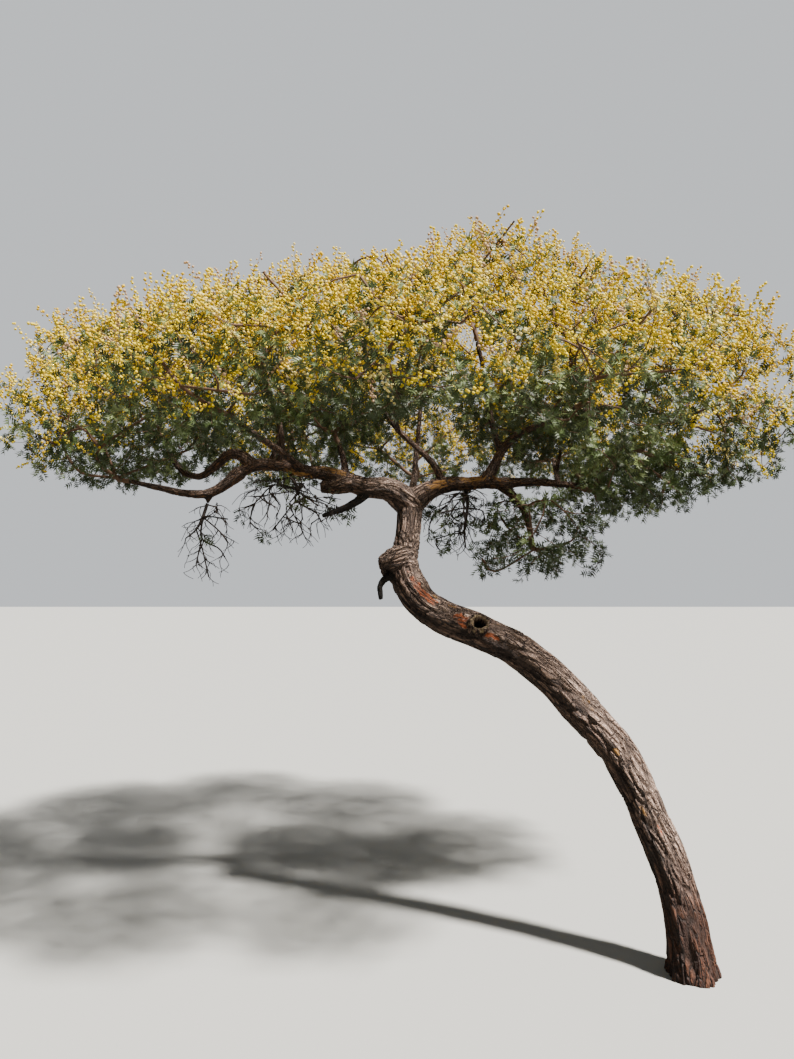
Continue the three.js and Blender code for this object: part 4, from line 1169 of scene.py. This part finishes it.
# %% Spaces
JOINT_GAP = 0.0003
SPACE_GAP = 0.006
LIMB_GAP = 0.008
POINT_GAP = 3 * LIMB_GAP
STEM_LENGTH = 0.07
STEM_SHARES = np.linspace(0, 1, 5)[:, None]
SEQUENCE_STEP = 37
SEQUENCE_BLOCK = 64
MOST_BLOCKS = 60


def spread(indices, base):
    """Evenly spreading numbers from 0 to 1, one for each place in the sequence."""
    result = np.zeros(len(indices))
    rest, share = indices.copy(), 1 / base
    while rest.any():
        result += share * (rest % base)
        rest //= base
        share /= base
    return result


def crown_top(points):
    """How high the crown's rounded top lies at each point's place."""
    across = 2 * (points[:, 0] - CROWN_MIDDLE[0]) / CROWN_WIDTH
    depth = points[:, 1] - CROWN_MIDDLE[1]
    return np.interp(across, *CROWN_TOP.T) - np.abs(depth) * np.where(depth < 0, FRONT_FALL, BACK_FALL)


class Mass:
    """The space of one mass of the crown, and the stem at the tip of its limb."""

    def __init__(self, number, name, limb, kind, middle, radii):
        self.name, self.kind = name, kind
        self.middle = CROWN_MIDDLE + np.array(middle) * (CROWN_WIDTH / 2, CROWN_DEPTH / 2, 1)
        self.radii = np.array(radii)
        self.index = SEQUENCE_STEP * number
        self.walls = []
        direction = limbs[limb].directions([1.0])[0]
        self.foot = limbs[limb].points([1.0])[0] + direction * JOINT_GAP
        self.stem_top = self.foot + direction * STEM_LENGTH
        self.stem_radius = limbs[limb].radius([1.0])[0]

    def reach(self, direction):
        """About how far the mass extends in a direction."""
        return np.linalg.norm(direction * self.radii)

    def holds(self, points, headroom):
        """Which points lie in the mass's own space, so far below the crown's top."""
        held = (((points - self.middle) / self.radii)**2).sum(1) <= 1
        held &= points[:, 2] + headroom <= crown_top(points)
        held &= np.abs(points[:, 0] - CROWN_MIDDLE[0]) + headroom <= CROWN_WIDTH / 2
        for direction, limit in self.walls:
            held &= points @ direction <= limit
        return held

    def gap(self, start, end):
        """The gap between a straight twig and the nearest limb or stem of another mass."""
        line = end - start
        along = np.clip((self.wood - start) @ line / max(line @ line, TINY), 0, 1)
        return (np.linalg.norm(self.wood - start - along[:, None] * line, axis=1) - self.wood_radii).min()

    def next_points(self, count, out_to, headroom=0):
        """The next points of the sequence that the space holds, out to a share of its radii."""
        found = np.empty((0, 3))
        for _ in range(MOST_BLOCKS):
            indices = self.index + 1 + np.arange(SEQUENCE_BLOCK)
            heights = 2 * spread(indices, 3) - 1
            angles = 2 * np.pi * spread(indices, 2)
            flat = np.sqrt(1 - heights**2)
            shell = out_to * np.cbrt(spread(indices, 5))[:, None] * self.radii
            points = np.c_[flat * np.cos(angles), flat * np.sin(angles), heights] * shell + self.middle
            good = np.flatnonzero(self.holds(points, headroom))
            good = [each for each in good if self.gap(points[each], points[each]) > POINT_GAP]
            taken = good[:count - len(found)]
            found = np.vstack([found, points[taken]])
            if len(found) == count:
                self.index = indices[taken[-1]]
                return found
            self.index = indices[-1]
        return found


masses = [Mass(number, *row) for number, row in enumerate(MASSES)]
for number, one in enumerate(masses):
    for other in masses[number + 1:]:
        direction = unit(other.middle - one.middle)
        share = one.reach(direction) / (one.reach(direction) + other.reach(direction))
        wall = (one.middle + (other.middle - one.middle) * share) @ direction
        one.walls.append((direction, wall - SPACE_GAP / 2))
        other.walls.append((-direction, -wall - SPACE_GAP / 2))

limb_points = np.concatenate([limb.samples for limb in limbs.values()])
limb_radii_all = np.concatenate([limb.sample_radii for limb in limbs.values()])
for mass in masses:
    stems = [(each.foot + (each.stem_top - each.foot) * STEM_SHARES, each.stem_radius)
             for each in masses if each is not mass]
    mass.wood = np.vstack([limb_points] + [points for points, _ in stems])
    mass.wood_radii = np.concatenate([limb_radii_all] + [np.full(len(points), radius) for points, radius in stems])
print(len(masses), "masses,", len(limb_points), "points of wood to keep clear of")

# %% [markdown]
# ## Main twigs
# In each mass a stem goes on from the limb's tip, and forks until it reaches the first points of the sequence. Each
# step joins the point that is cheapest to reach, counting the new twig's length and a share of the way back to the
# limb, which is how a plant saves wood. A twig is as thick as the number of tips that it carries asks for.

# %% Main twigs
TWIG_POINTS = {"leafy": 9, "bloom": 9, "bare": 12}
TWIG_REACH = 0.8
TWIG_CLEARANCE = 0.01
REACH_BALANCE = 0.35
TWIG_TIP_RADIUS = 0.0032
TWIG_SPOT_STEP = 0.015


def join_points(mass):
    """The forks and tips of a mass's twigs, with the number of the one that each grows from."""
    points, parents, ways = [mass.foot, mass.stem_top], [None, 0], [0, STEM_LENGTH]
    waiting = list(mass.next_points(TWIG_POINTS[mass.kind], TWIG_REACH))
    while waiting:
        best = None
        for place, point in enumerate(waiting):
            for parent in range(1, len(points)):
                length = np.linalg.norm(points[parent] - point)
                cost = length + REACH_BALANCE * ways[parent]
                if best and cost >= best[0]:
                    continue
                if mass.gap(points[parent], point) > TWIG_CLEARANCE + LIMB_GAP:
                    best = (cost, place, parent, length)
        if not best:
            break
        _, place, parent, length = best
        points.append(waiting.pop(place))
        parents.append(parent)
        ways.append(ways[parent] + length)
    return points, parents


def main_twigs(mass):
    """The main twigs as curves. Each follows the fork with the most tips, and the others start new ones."""
    points, parents = join_points(mass)
    children = [[other for other, parent in enumerate(parents) if parent == node] for node in range(len(points))]
    tips = [0] * len(points)
    for node in reversed(range(len(points))):
        tips[node] = max(1, sum(tips[child] for child in children[node]))
        children[node].sort(key=lambda child: -tips[child])
    radii = [max(TWIG_TIP_RADIUS, mass.stem_radius * math.sqrt(count / tips[0])) for count in tips]
    twigs, starts = [], [[0, children[0][0]]]
    while starts:
        chain = starts.pop()
        while children[chain[-1]]:
            following, *others = children[chain[-1]]
            starts += [[chain[-1], other] for other in others]
            chain.append(following)
        first_radius = radii[0] if chain[0] == 0 else radii[chain[1]]
        chain_radii = [first_radius] + [radii[node] for node in chain[1:]]
        twigs.append(Curve([points[node] for node in chain], chain_radii))
    return twigs


for mass in masses:
    mass.twigs = main_twigs(mass)
print("main twigs:", sum(len(mass.twigs) for mass in masses))

# %% [markdown]
# ## Fine twigs and shoots
# The same sequence then gives hundreds of further points in each mass. A fine twig grows to each of them from the
# nearest place on the twigs that are there already, leaves its parent at a slant and bends towards its point. The
# early ones are long and become branches for the later ones, so the twigs get finer by themselves. Dead twigs and
# the lowest living ones hang, so there each starts from a place above its point, and they come in tufts.

# %% Fine twigs
# Fine twigs in a mass, for each square metre of its half width times its half depth
SHOOTS = {"leafy": 820, "bloom": 700, "bare": 6200}
DENSER = {"low_middle": 1.9, "low_middle_front": 1.3, "low_right_middle": 1.9, "low_right_outer": 1.5,
          "low_left_front": 1.2, "low_left_end": 1.35, "low_left_back": 1.15, "hanging_right": 1.5}
HANGING_PULL = {"hanging_right": 1, "dead_twigs_left_end": 3, "dead_twigs_left": 3, "dead_twigs_right": 3}
HANGING_DROP = 0.03
TUFT_SIZE = 0.1
TUFT_GAPS = 0.1

# Lines through the crown, from front to back, along which the sky shows: both ends and the radius
SKY_GAPS = [
    ((-0.917, -0.6, 2.36), (-0.619, 2.7, 3.378), 0.085), ((-0.871, -0.6, 2.27), (-0.515, 2.7, 3.17), 0.06),
    ((-0.149, -0.6, 2.007), (1.111, 2.7, 2.58), 0.06), ((-1.436, -0.6, 2.02), (-1.79, 2.7, 2.61), 0.045),
]
SHOOT_REACH = 0.95
SHOOT_HEADROOM = 0.08
SHORTEST_TWIG = 0.02
LONGEST_TWIG = 0.36
PATH_SHARES = np.array([0, 0.33, 0.67, 1])
SPOT_SHARES = np.array([0.4, 0.6, 0.8, 1])
LEAVING = 0.6
LEAVING_LENGTH = 0.45


def bent(start, control, end, shares):
    """A gentle bend from one point to another, drawn towards a control point."""
    shares = shares[:, None]
    return (1 - shares)**2 * start + 2 * shares * (1 - shares) * control + shares**2 * end


def in_sky_gap(points):
    """Which points lie in one of the gaps that let the sky show."""
    held = np.zeros(len(points), bool)
    for start, end, radius in SKY_GAPS:
        start, line = np.array(start), np.subtract(end, start)
        along = (points - start) @ line / (line @ line)
        held |= np.linalg.norm(points - start - along[:, None] * line, axis=1) < radius
    return held


class Shoots:
    """The fine twigs of a mass: their paths, and the number of the fine twig that each grows from."""

    def __init__(self, mass):
        self.paths, self.parents = [], []
        spots, directions = [], []
        for twig in mass.twigs:
            shares = twig.shares(TWIG_SPOT_STEP)
            shares = shares[shares * twig.length > STEM_LENGTH]
            spots.append(twig.points(shares))
            directions.append(twig.directions(shares))
        self.spots, self.directions = np.vstack(spots), np.vstack(directions)
        self.owners = np.full(len(self.spots), -1)
        self.pull = HANGING_PULL.get(mass.name, 0)
        count = round(SHOOTS[mass.kind] * DENSER.get(mass.name, 1) * mass.radii[0] * mass.radii[1])
        targets = mass.next_points(count, SHOOT_REACH, SHOOT_HEADROOM)
        for target in targets[~in_sky_gap(targets)]:
            self.grow_to(target)

    def grow_to(self, target):
        """A fine twig to a point, unless the point lies between tufts, too near or too far."""
        if self.pull and noise.noise(Vector(target) / TUFT_SIZE) < -TUFT_GAPS:
            return
        away = np.linalg.norm(self.spots - target, axis=1)
        below = np.maximum(target[2] + HANGING_DROP - self.spots[:, 2], 0)
        nearest = np.argmin(away + self.pull * below)
        if not SHORTEST_TWIG < away[nearest] < LONGEST_TWIG:
            return
        start = self.spots[nearest]
        leaving = unit(unit(target - start) + LEAVING * self.directions[nearest])
        control = start + leaving * away[nearest] * LEAVING_LENGTH
        self.paths.append(bent(start, control, target, PATH_SHARES))
        self.parents.append(self.owners[nearest])
        new_spots = bent(start, control, target, SPOT_SHARES)
        self.spots = np.vstack([self.spots, new_spots])
        self.directions = np.vstack([self.directions, unit(np.gradient(new_spots, axis=0))])
        self.owners = np.concatenate([self.owners, np.full(len(new_spots), len(self.paths) - 1)])

    def tips(self):
        """How many tips each fine twig carries, itself included."""
        counts = np.ones(len(self.paths))
        for twig in reversed(range(len(self.paths))):
            if self.parents[twig] >= 0:
                counts[self.parents[twig]] += counts[twig]
        return counts


for mass in masses:
    mass.shoots = Shoots(mass)
print("fine twigs:", sum(len(mass.shoots.paths) for mass in masses))

# %% [markdown]
# ## Twigs as one mesh
# Thousands of separate objects would be slow, so all twigs of a kind are joined into one mesh. It is made straight
# from arrays of numbers: a ring of corners round each point of each path, and four-sided faces between the rings.
# Three sides are enough for a twig that is thinner than a pencil.

# %% Meshes from arrays
MAIN_SIDES = 6
FINE_SIDES = 3
MAIN_STEP = 0.03
FINE_TIP_RADIUS = 0.001
FINE_BASE_RADIUS = 0.0014
DEAD_THICKER = 1.35
UPRIGHT = 0.9


def mesh_of(name, corners, faces, tints=None):
    """A mesh from an array of corners and an array of faces, with a material number for each face."""
    mesh = bpy.data.meshes.new(name)
    mesh.vertices.add(len(corners))
    mesh.vertices.foreach_set("co", corners.astype(np.float32).ravel())
    mesh.loops.add(faces.size)
    mesh.loops.foreach_set("vertex_index", faces.astype(np.int32).ravel())
    mesh.polygons.add(len(faces))
    mesh.polygons.foreach_set("loop_start", np.arange(0, faces.size, faces.shape[1], dtype=np.int32))
    if tints is not None:
        mesh.polygons.foreach_set("material_index", tints.astype(np.int32))
    mesh.update(calc_edges=True)
    return mesh


def side_of(directions):
    """For each direction, one square to it that is level, or square to X if the direction is nearly upright."""
    level = np.abs(directions[:, 2:]) < UPRIGHT
    return unit(np.cross(directions, np.where(level, (0.0, 0.0, 1.0), (1.0, 0.0, 0.0))))


def tubes(paths, radii, sides):
    """Tubes round paths of the same number of points, as corners and faces."""
    count, rings = paths.shape[:2]
    ahead = unit(np.gradient(paths, axis=1))
    side = side_of(unit(paths[:, -1] - paths[:, 0]))[:, None]
    side = unit(side - ahead * (ahead * side).sum(-1, keepdims=True))
    up = np.cross(ahead, side)
    turns = np.linspace(0, 2 * np.pi, sides, endpoint=False)[:, None]
    ring = side[:, :, None] * np.cos(turns) + up[:, :, None] * np.sin(turns)
    corners = paths[:, :, None] + ring * radii[:, :, None, None]
    first = (np.arange(rings - 1)[:, None] * sides + np.arange(sides)).ravel()
    second = (np.arange(rings - 1)[:, None] * sides + (np.arange(sides) + 1) % sides).ravel()
    faces = np.c_[first, second, second + sides, first + sides]
    faces = faces + (np.arange(count) * rings * sides)[:, None, None]
    return corners.reshape(-1, 3), faces.reshape(-1, 4)


def joined(parts):
    """Several arrays of corners and faces as one of each."""
    starts = np.cumsum([0] + [len(corners) for corners, _ in parts[:-1]])
    return (np.vstack([corners for corners, _ in parts]),
            np.vstack([faces + start for (_, faces), start in zip(parts, starts)]))


def twig_parts(chosen):
    """The main and the fine twigs of some masses."""
    parts = []
    for mass in chosen:
        for twig in mass.twigs:
            shares = twig.shares(MAIN_STEP)
            parts.append(tubes(twig.points(shares)[None], twig.radius(shares)[None], MAIN_SIDES))
        base = FINE_BASE_RADIUS * np.sqrt(mass.shoots.tips())
        taper = base[:, None] + (FINE_TIP_RADIUS - base)[:, None] * PATH_SHARES
        if mass.kind == "bare":
            taper = taper * DEAD_THICKER
        parts.append(tubes(np.array(mass.shoots.paths), taper, FINE_SIDES))
    return parts


living = [mass for mass in masses if mass.kind != "bare"]
dead = [mass for mass in masses if mass.kind == "bare"]
twig_mesh = mesh_of("crown_twigs", *joined(twig_parts(living)))
dead_twig_mesh = mesh_of("dead_twigs", *joined(twig_parts(dead)))
for mesh in (twig_mesh, dead_twig_mesh):
    mesh.shade_smooth()
place_piece("crown_twigs", twig_mesh, [mass.name for mass in living])
place_piece("dead_twigs", dead_twig_mesh, [mass.name for mass in dead])

# %% [markdown]
# ## One leaf
# An acacia's leaf is feathery: a stalk with pairs of smaller ribs, each with two rows of tiny leaflets. A rib with
# its leaflets is so fine that one narrow triangle can stand for it, so a whole leaf takes eight faces. It droops at
# the tip and is folded up along its stalk, so that its two sides catch the light differently and it never vanishes
# when it is seen edge on.

# %% Leaf
LEAF_PAIRS = 3
PAIR_PLACES = (0.2, 0.66)
STALK_LENGTH = 0.7
STALK_WIDTH = 0.05
END_RIB = (0.62, 1.1)
SHORTEST_RIB = 0.55
RIB_SWELL = 0.45
RIB_LENGTH = 0.58
RIB_WIDTH = 0.19
RIB_LEAN = math.radians(52)
LEAF_DROOP = 0.3
LEAF_FOLD = 0.6


def leaf_template():
    """A leaf of length 1 along +Y with its upper side to +Z, as corners and triangles."""
    foot, tip = END_RIB
    flat = [(-STALK_WIDTH / 2, 0), (STALK_WIDTH / 2, 0), (0, STALK_LENGTH)]
    flat += [(-RIB_WIDTH / 2, foot), (RIB_WIDTH / 2, foot), (0, tip)]
    for height in np.linspace(*PAIR_PLACES, LEAF_PAIRS):
        length = RIB_LENGTH * (SHORTEST_RIB + RIB_SWELL * math.sin(math.pi * height))
        for hand in (-1, 1):
            rib = np.array([hand * math.sin(RIB_LEAN), math.cos(RIB_LEAN)])
            aside = np.array([rib[1], -rib[0]]) * RIB_WIDTH / 2 * hand
            root = np.array([0, height]) + rib * STALK_WIDTH / 2
            flat += [root - aside, root + aside, root + rib * length]
    flat = np.array(flat)
    lift = LEAF_FOLD * np.abs(flat[:, 0]) - LEAF_DROOP * flat[:, 1]**2
    return np.c_[flat, lift], np.arange(len(flat)).reshape(-1, 3)


leaf_corners, leaf_faces = leaf_template()
print("a leaf has", len(leaf_faces), "faces")

# %% [markdown]
# ## Leaves along the shoots
# The leaves stand round the outer end of each fine twig, each turned on from the one before by the golden angle, so
# that none shades the next. They lean forward and turn their upper sides to the light, up and out of the crown.
# Each shoot is dealt one of a few greens: fresher above, and darker inside and below and on the shaded branches, as
# painted shade. The branch that hangs low in the shade has lost almost half of its leaves, and a few dead twigs still
# carry some.

# %% Leaf places
SEED = 20
LEAF_COLOURS = [(0.035, 0.055, 0.015), (0.065, 0.1, 0.025), (0.12, 0.165, 0.05), (0.2, 0.25, 0.085)]
LEAF_SPACING = 0.012
BLOOM_BARE_END = 0.03
FEWEST_LEAVES = 2
MOST_LEAVES = 9
LEAVES_UNDER_BLOSSOM = 2
GOLDEN_TURN = math.radians(137.5)
FRESHNESS_SPREAD = 0.7
IN_LEAF = {"hanging_right": 0.6, "dead_twigs_right": 0.08, "dead_twigs_left": 0.03, "dead_twigs_left_end": 0.02}
SHADED = ("hanging_right", "dead_twigs_right", "dead_twigs_left", "dead_twigs_left_end")
# How much darker the shaded branches' leaves are painted, as painted shade
SHADE = 0.8
BLOOM_LINE = 2.6
BLOOM_DROP = 0.45
BLOOM_SOFTNESS = 0.24
PATCH_SIZE = 0.26
PATCH_SHIFT = 0.3
CROWN_HALF = np.array([CROWN_WIDTH / 2, CROWN_DEPTH / 2])
SIDE_LIMITS = (-1.95, -1.15, -0.45)
SIDE_NAMES = ("far_left", "left", "right", "far_right")

# What the columns of the rows in a spray hold
POINT, DIRECTION, TURN, TINT, SIDE = slice(0, 3), slice(3, 6), slice(6, 7), 7, 8

rng = np.random.default_rng(SEED)


def bloom_chance(point):
    """How likely a shoot is in bloom: more so high up and out at the crown's edge, and in patches."""
    out = np.linalg.norm((point[:2] - CROWN_MIDDLE[:2]) / CROWN_HALF)
    line = BLOOM_LINE - BLOOM_DROP * min(out, 1)**2 + PATCH_SHIFT * noise.noise(Vector(point) / PATCH_SIZE)
    return float(smoothstep(-BLOOM_SOFTNESS, BLOOM_SOFTNESS, point[2] - line))


def places_along(path, distances):
    """Points and directions on a path, at distances back from its tip."""
    steps = np.linalg.norm(np.diff(path, axis=0), axis=1)
    ways = np.concatenate([[0], np.cumsum(steps)])
    at = np.clip(ways[-1] - distances, 0, ways[-1])
    points = np.stack([np.interp(at, ways, path[:, axis]) for axis in range(3)], axis=1)
    directions = unit(np.diff(path, axis=0))[np.clip(np.searchsorted(ways, at) - 1, 0, len(steps) - 1)]
    return points, directions


class Sprays:
    """Where leaves or flower heads go: point, direction of the twig, turn round it, tint and the crown's side."""

    def __init__(self):
        self.rows = []

    def add(self, points, directions, turns, tint, side):
        """The leaves or heads of one shoot, which share a tint."""
        count = len(points)
        self.rows.append(np.c_[points, directions, turns, np.full(count, tint), np.full(count, side)])

    def all(self):
        """All rows as one array."""
        return np.vstack(self.rows)


def random_turns(count):
    """Turns round a twig, each the golden angle on from the one before."""
    return rng.uniform(0, 2 * np.pi) + GOLDEN_TURN * np.arange(count)


def leaf_tint(mass, tip):
    """The number of a shoot's green: fresher high up in its mass, and darker low down and in the shade, as painted
    shade.
    """
    freshness_and_shade = (tip[2] - mass.middle[2]) / mass.radii[2] + rng.normal(0, FRESHNESS_SPREAD)
    if mass.name in SHADED:
        freshness_and_shade -= SHADE
    tints = len(LEAF_COLOURS)
    return int(np.clip((freshness_and_shade + 1) * tints / 2, 0, tints - 1))


def add_leaves(mass, path, in_bloom):
    """Leaves round the outer end of a fine twig, or a few further back where blossom goes on from its tip."""
    length = np.linalg.norm(np.diff(path, axis=0), axis=1).sum()
    most = LEAVES_UNDER_BLOSSOM if in_bloom else MOST_LEAVES
    count = min(most, FEWEST_LEAVES + int(length / LEAF_SPACING))
    back = np.arange(count) * LEAF_SPACING + (BLOOM_BARE_END if in_bloom else 0)
    points, directions = places_along(path, back)
    leaves.add(points, directions, random_turns(count), leaf_tint(mass, path[-1]), mass.side)


leaves, blossom = Sprays(), Sprays()
blooming = []
for mass in masses:
    mass.side = int(np.searchsorted(SIDE_LIMITS, mass.middle[0]))
    for path in mass.shoots.paths:
        if rng.random() > IN_LEAF.get(mass.name, 1):
            continue
        in_bloom = mass.kind != "bare" and rng.random() < bloom_chance(path[-1])
        add_leaves(mass, path, in_bloom)
        if in_bloom:
            blooming.append((mass, path))
print("shoots in bloom:", len(blooming))

# %% [markdown]
# ## Leaves as joined meshes
# Each leaf is a copy of the template, turned along its own three directions: along the stalk, across it, and up
# towards the light. Objects that share one mesh would also do, but tens of thousands of objects are slow to handle
# and to export. So one sum over arrays gives the corners of all copies at once, and they become four joined meshes,
# one for each side of the crown.

# %% Leaf meshes
LEAF_LENGTH = 0.047
LEAF_SIZES = (0.72, 1.12)
LEAF_FORWARD = 0.6
LIGHT_UP = 0.75
LIGHT_OUT = 0.7
LIGHT_RANDOM = 0.6
LEAF_ROUGHNESS = 0.5


def around(rows):
    """For each row, two directions square to its twig, and the outward one that its turn points to."""
    side = side_of(rows[:, DIRECTION])
    up = np.cross(rows[:, DIRECTION], side)
    return side, up, side * np.cos(rows[:, TURN]) + up * np.sin(rows[:, TURN])


def scatter(template, faces, origins, across, along, upward, sizes):
    """Copies of a template, each with its own place, directions and size, as corners and faces."""
    frames = np.stack([across, along, upward], axis=1) * sizes[:, None, None]
    corners = np.einsum("vj,njk->nvk", template, frames) + origins[:, None]
    copies = faces + (np.arange(len(origins)) * len(template))[:, None, None]
    return corners.reshape(-1, 3), copies.reshape(-1, faces.shape[1])


def leaf_frames(rows):
    """Where each leaf starts, its directions across, along and up, and its size."""
    outward = around(rows)[2]
    along = unit(rows[:, DIRECTION] * LEAF_FORWARD + outward)
    out = unit((rows[:, POINT] - CROWN_MIDDLE) * (1, 1, 0))
    light = rng.normal(size=along.shape) * LIGHT_RANDOM + out * LIGHT_OUT + (0, 0, LIGHT_UP)
    upward = unit(light - along * (light * along).sum(1, keepdims=True))
    sizes = LEAF_LENGTH * rng.uniform(*LEAF_SIZES, len(rows))
    return rows[:, POINT], np.cross(along, upward), along, upward, sizes


def tint_materials(name, colours, roughness):
    """A plain material for each colour that shoots are dealt."""
    return [new_material(f"{name}_{number}", colour, roughness)[0] for number, colour in enumerate(colours)]


def add_by_side(name, rows, template, faces, frames, materials, slot, smooth=False):
    """One joined mesh for each side of the crown, so that none gets too big."""
    for side, side_name in enumerate(SIDE_NAMES):
        chosen = rows[rows[:, SIDE] == side]
        corners, copies = scatter(template, faces, *frames(chosen))
        tints = np.repeat(chosen[:, TINT].astype(int), len(faces))
        mesh = mesh_of(f"{name}_{side_name}", corners, copies, tints)
        for material in materials:
            mesh.materials.append(material)
        if smooth:
            mesh.shade_smooth()
        place_piece(mesh.name, mesh, [mass.name for mass in masses if mass.side == side])


leaf_materials = tint_materials("leaf", LEAF_COLOURS, LEAF_ROUGHNESS)
add_by_side("leaves", leaves.all(), leaf_corners, leaf_faces, leaf_frames, leaf_materials, "foliage")
print("leaves:", len(leaves.all()))

# %% [markdown]
# ## Flower heads
# The blossom is a loose spray of small round heads, each a ball of fluffy stamens on a short stalk. A real head is
# barely a centimetre across. Here it is a little larger, so that sixty thousand fill the crown, and still so small
# that the eight faces of an octahedron, shaded smooth, are round enough. The spray goes on from the shoot's tip,
# turned upwards, and its heads also sit along the shoot itself. They are dealt golden, deep yellow, cream or the
# pinkish brown of buds by the spray, with more cream at the top.

# %% Blossom
HEAD_RADIUS = 0.008
HEAD_SPACING = 0.0112
HEAD_STANDOFF = (0.002, 0.013)
HEAD_SIZES = (0.6, 1.2)
SPRAY_LENGTH = (0.08, 0.2)
SPRAY_SHORTER = 0.85
SPRAY_RISE = 1.1
SPRAY_WANDER = 0.25
SPRAY_BACK = 0.045
SPRAY_TOP = 0.15
TALLEST = 3.49
SPRAY_REACH = 1.04
SHORTEST_SPRAY = 0.03
BLOSSOM_COLOURS = [(0.95, 0.72, 0.025), (0.8, 0.53, 0.008), (0.95, 0.78, 0.26), (0.6, 0.4, 0.24)]
BLOSSOM_SHARES = np.array([0.58, 0.28, 0.09, 0.05])
CREAM_SHARES = np.array([0.38, 0.1, 0.3, 0.22])
CREAM_DEPTH = (-0.25, 0.05)
BLOSSOM_ROUGHNESS = 0.8
STALK_OVERLAP = 0.01
STALK_TAPER = 0.7


def head_template():
    """An octahedron of radius 1, as corners and triangles."""
    corners = np.array([(1, 0, 0), (0, 1, 0), (-1, 0, 0), (0, -1, 0), (0, 0, 1), (0, 0, -1)], float)
    faces = []
    for here in range(4):
        ahead = (here + 1) % 4
        faces += [(here, ahead, 4), (ahead, here, 5)]
    return corners, np.array(faces)


def spray_length(mass, tip, direction):
    """How far a spray can go on from a shoot's tip and stay at the crown's edge."""
    length = rng.uniform(*SPRAY_LENGTH)
    headroom = SPRAY_TOP * rng.random()**3
    while length > SHORTEST_SPRAY:
        end = (tip + direction * length)[None]
        inside = (((end - mass.middle) / mass.radii)**2).sum() < SPRAY_REACH
        if inside and end[0, 2] < min(crown_top(end)[0] + headroom, TALLEST):
            break
        length *= SPRAY_SHORTER
    return length


def blossom_tint(tip):
    """The number of a spray's yellow, dealt out with more cream near the crown's top."""
    paleness = float(smoothstep(*CREAM_DEPTH, tip[2] - crown_top(tip[None])[0]))
    shares = BLOSSOM_SHARES + paleness * (CREAM_SHARES - BLOSSOM_SHARES)
    return rng.choice(len(shares), p=shares / shares.sum())


def add_heads(mass, path):
    """Flower heads along the end of a shoot and the spray that goes on from it. Gives the spray's stalk."""
    tip = path[-1]
    direction = unit(unit(tip - path[-2]) + (0, 0, SPRAY_RISE) + rng.normal(0, SPRAY_WANDER, 3))
    end = tip + direction * spray_length(mass, tip, direction)
    back = np.arange(0, SPRAY_BACK + np.linalg.norm(end - tip), HEAD_SPACING)
    points, directions = places_along(np.vstack([path, end]), back)
    blossom.add(points, directions, random_turns(len(back)), blossom_tint(tip), mass.side)
    return tip - direction * STALK_OVERLAP, end


def head_frames(rows):
    """Where each head sits, three directions square to each other, and its size."""
    side, up, outward = around(rows)
    origins = rows[:, POINT] + outward * rng.uniform(*HEAD_STANDOFF, len(rows))[:, None]
    sizes = HEAD_RADIUS * rng.uniform(*HEAD_SIZES, len(rows))
    return origins, side, up, rows[:, DIRECTION], sizes


stalk_paths = np.array([add_heads(mass, path) for mass, path in blooming])
blossom_materials = tint_materials("blossom", BLOSSOM_COLOURS, BLOSSOM_ROUGHNESS)
add_by_side("blossom", blossom.all(), *head_template(), head_frames, blossom_materials, "blossom", smooth=True)
print("flower heads:", len(blossom.all()))

stalk_radii = np.tile([FINE_TIP_RADIUS, FINE_TIP_RADIUS * STALK_TAPER], (len(stalk_paths), 1))
stalk_mesh = mesh_of("blossom_stalks", *tubes(stalk_paths, stalk_radii, FINE_SIDES))
place_piece("blossom_stalks", stalk_mesh, [mass.name for mass in living if mass.kind == "bloom"])

# %% [markdown]
# ## The colours of twigs
# A fine twig is thinner than a crack of the bark, so the bark's material would be wasted on it, and a plain colour
# is enough: a warm brown for living twigs, nearly black for dead ones, and a dull olive brown for the stalks that
# carry the blossom.

# %% Twig materials
# Each colour is a little darker than the twig's own, as painted shade where twigs shade each other
TWIG_LOOKS = (
    (twig_mesh, "twig", (0.13, 0.07, 0.04), 0.75),
    (dead_twig_mesh, "dead_twig", (0.035, 0.024, 0.02), 0.85),
    (stalk_mesh, "blossom_stalk", (0.16, 0.12, 0.05), 0.7),
)
for mesh, name, colour, roughness in TWIG_LOOKS:
    mesh.materials.append(new_material(name, colour, roughness)[0])
    print(mesh.name, "in plain", mesh.materials[0].name)
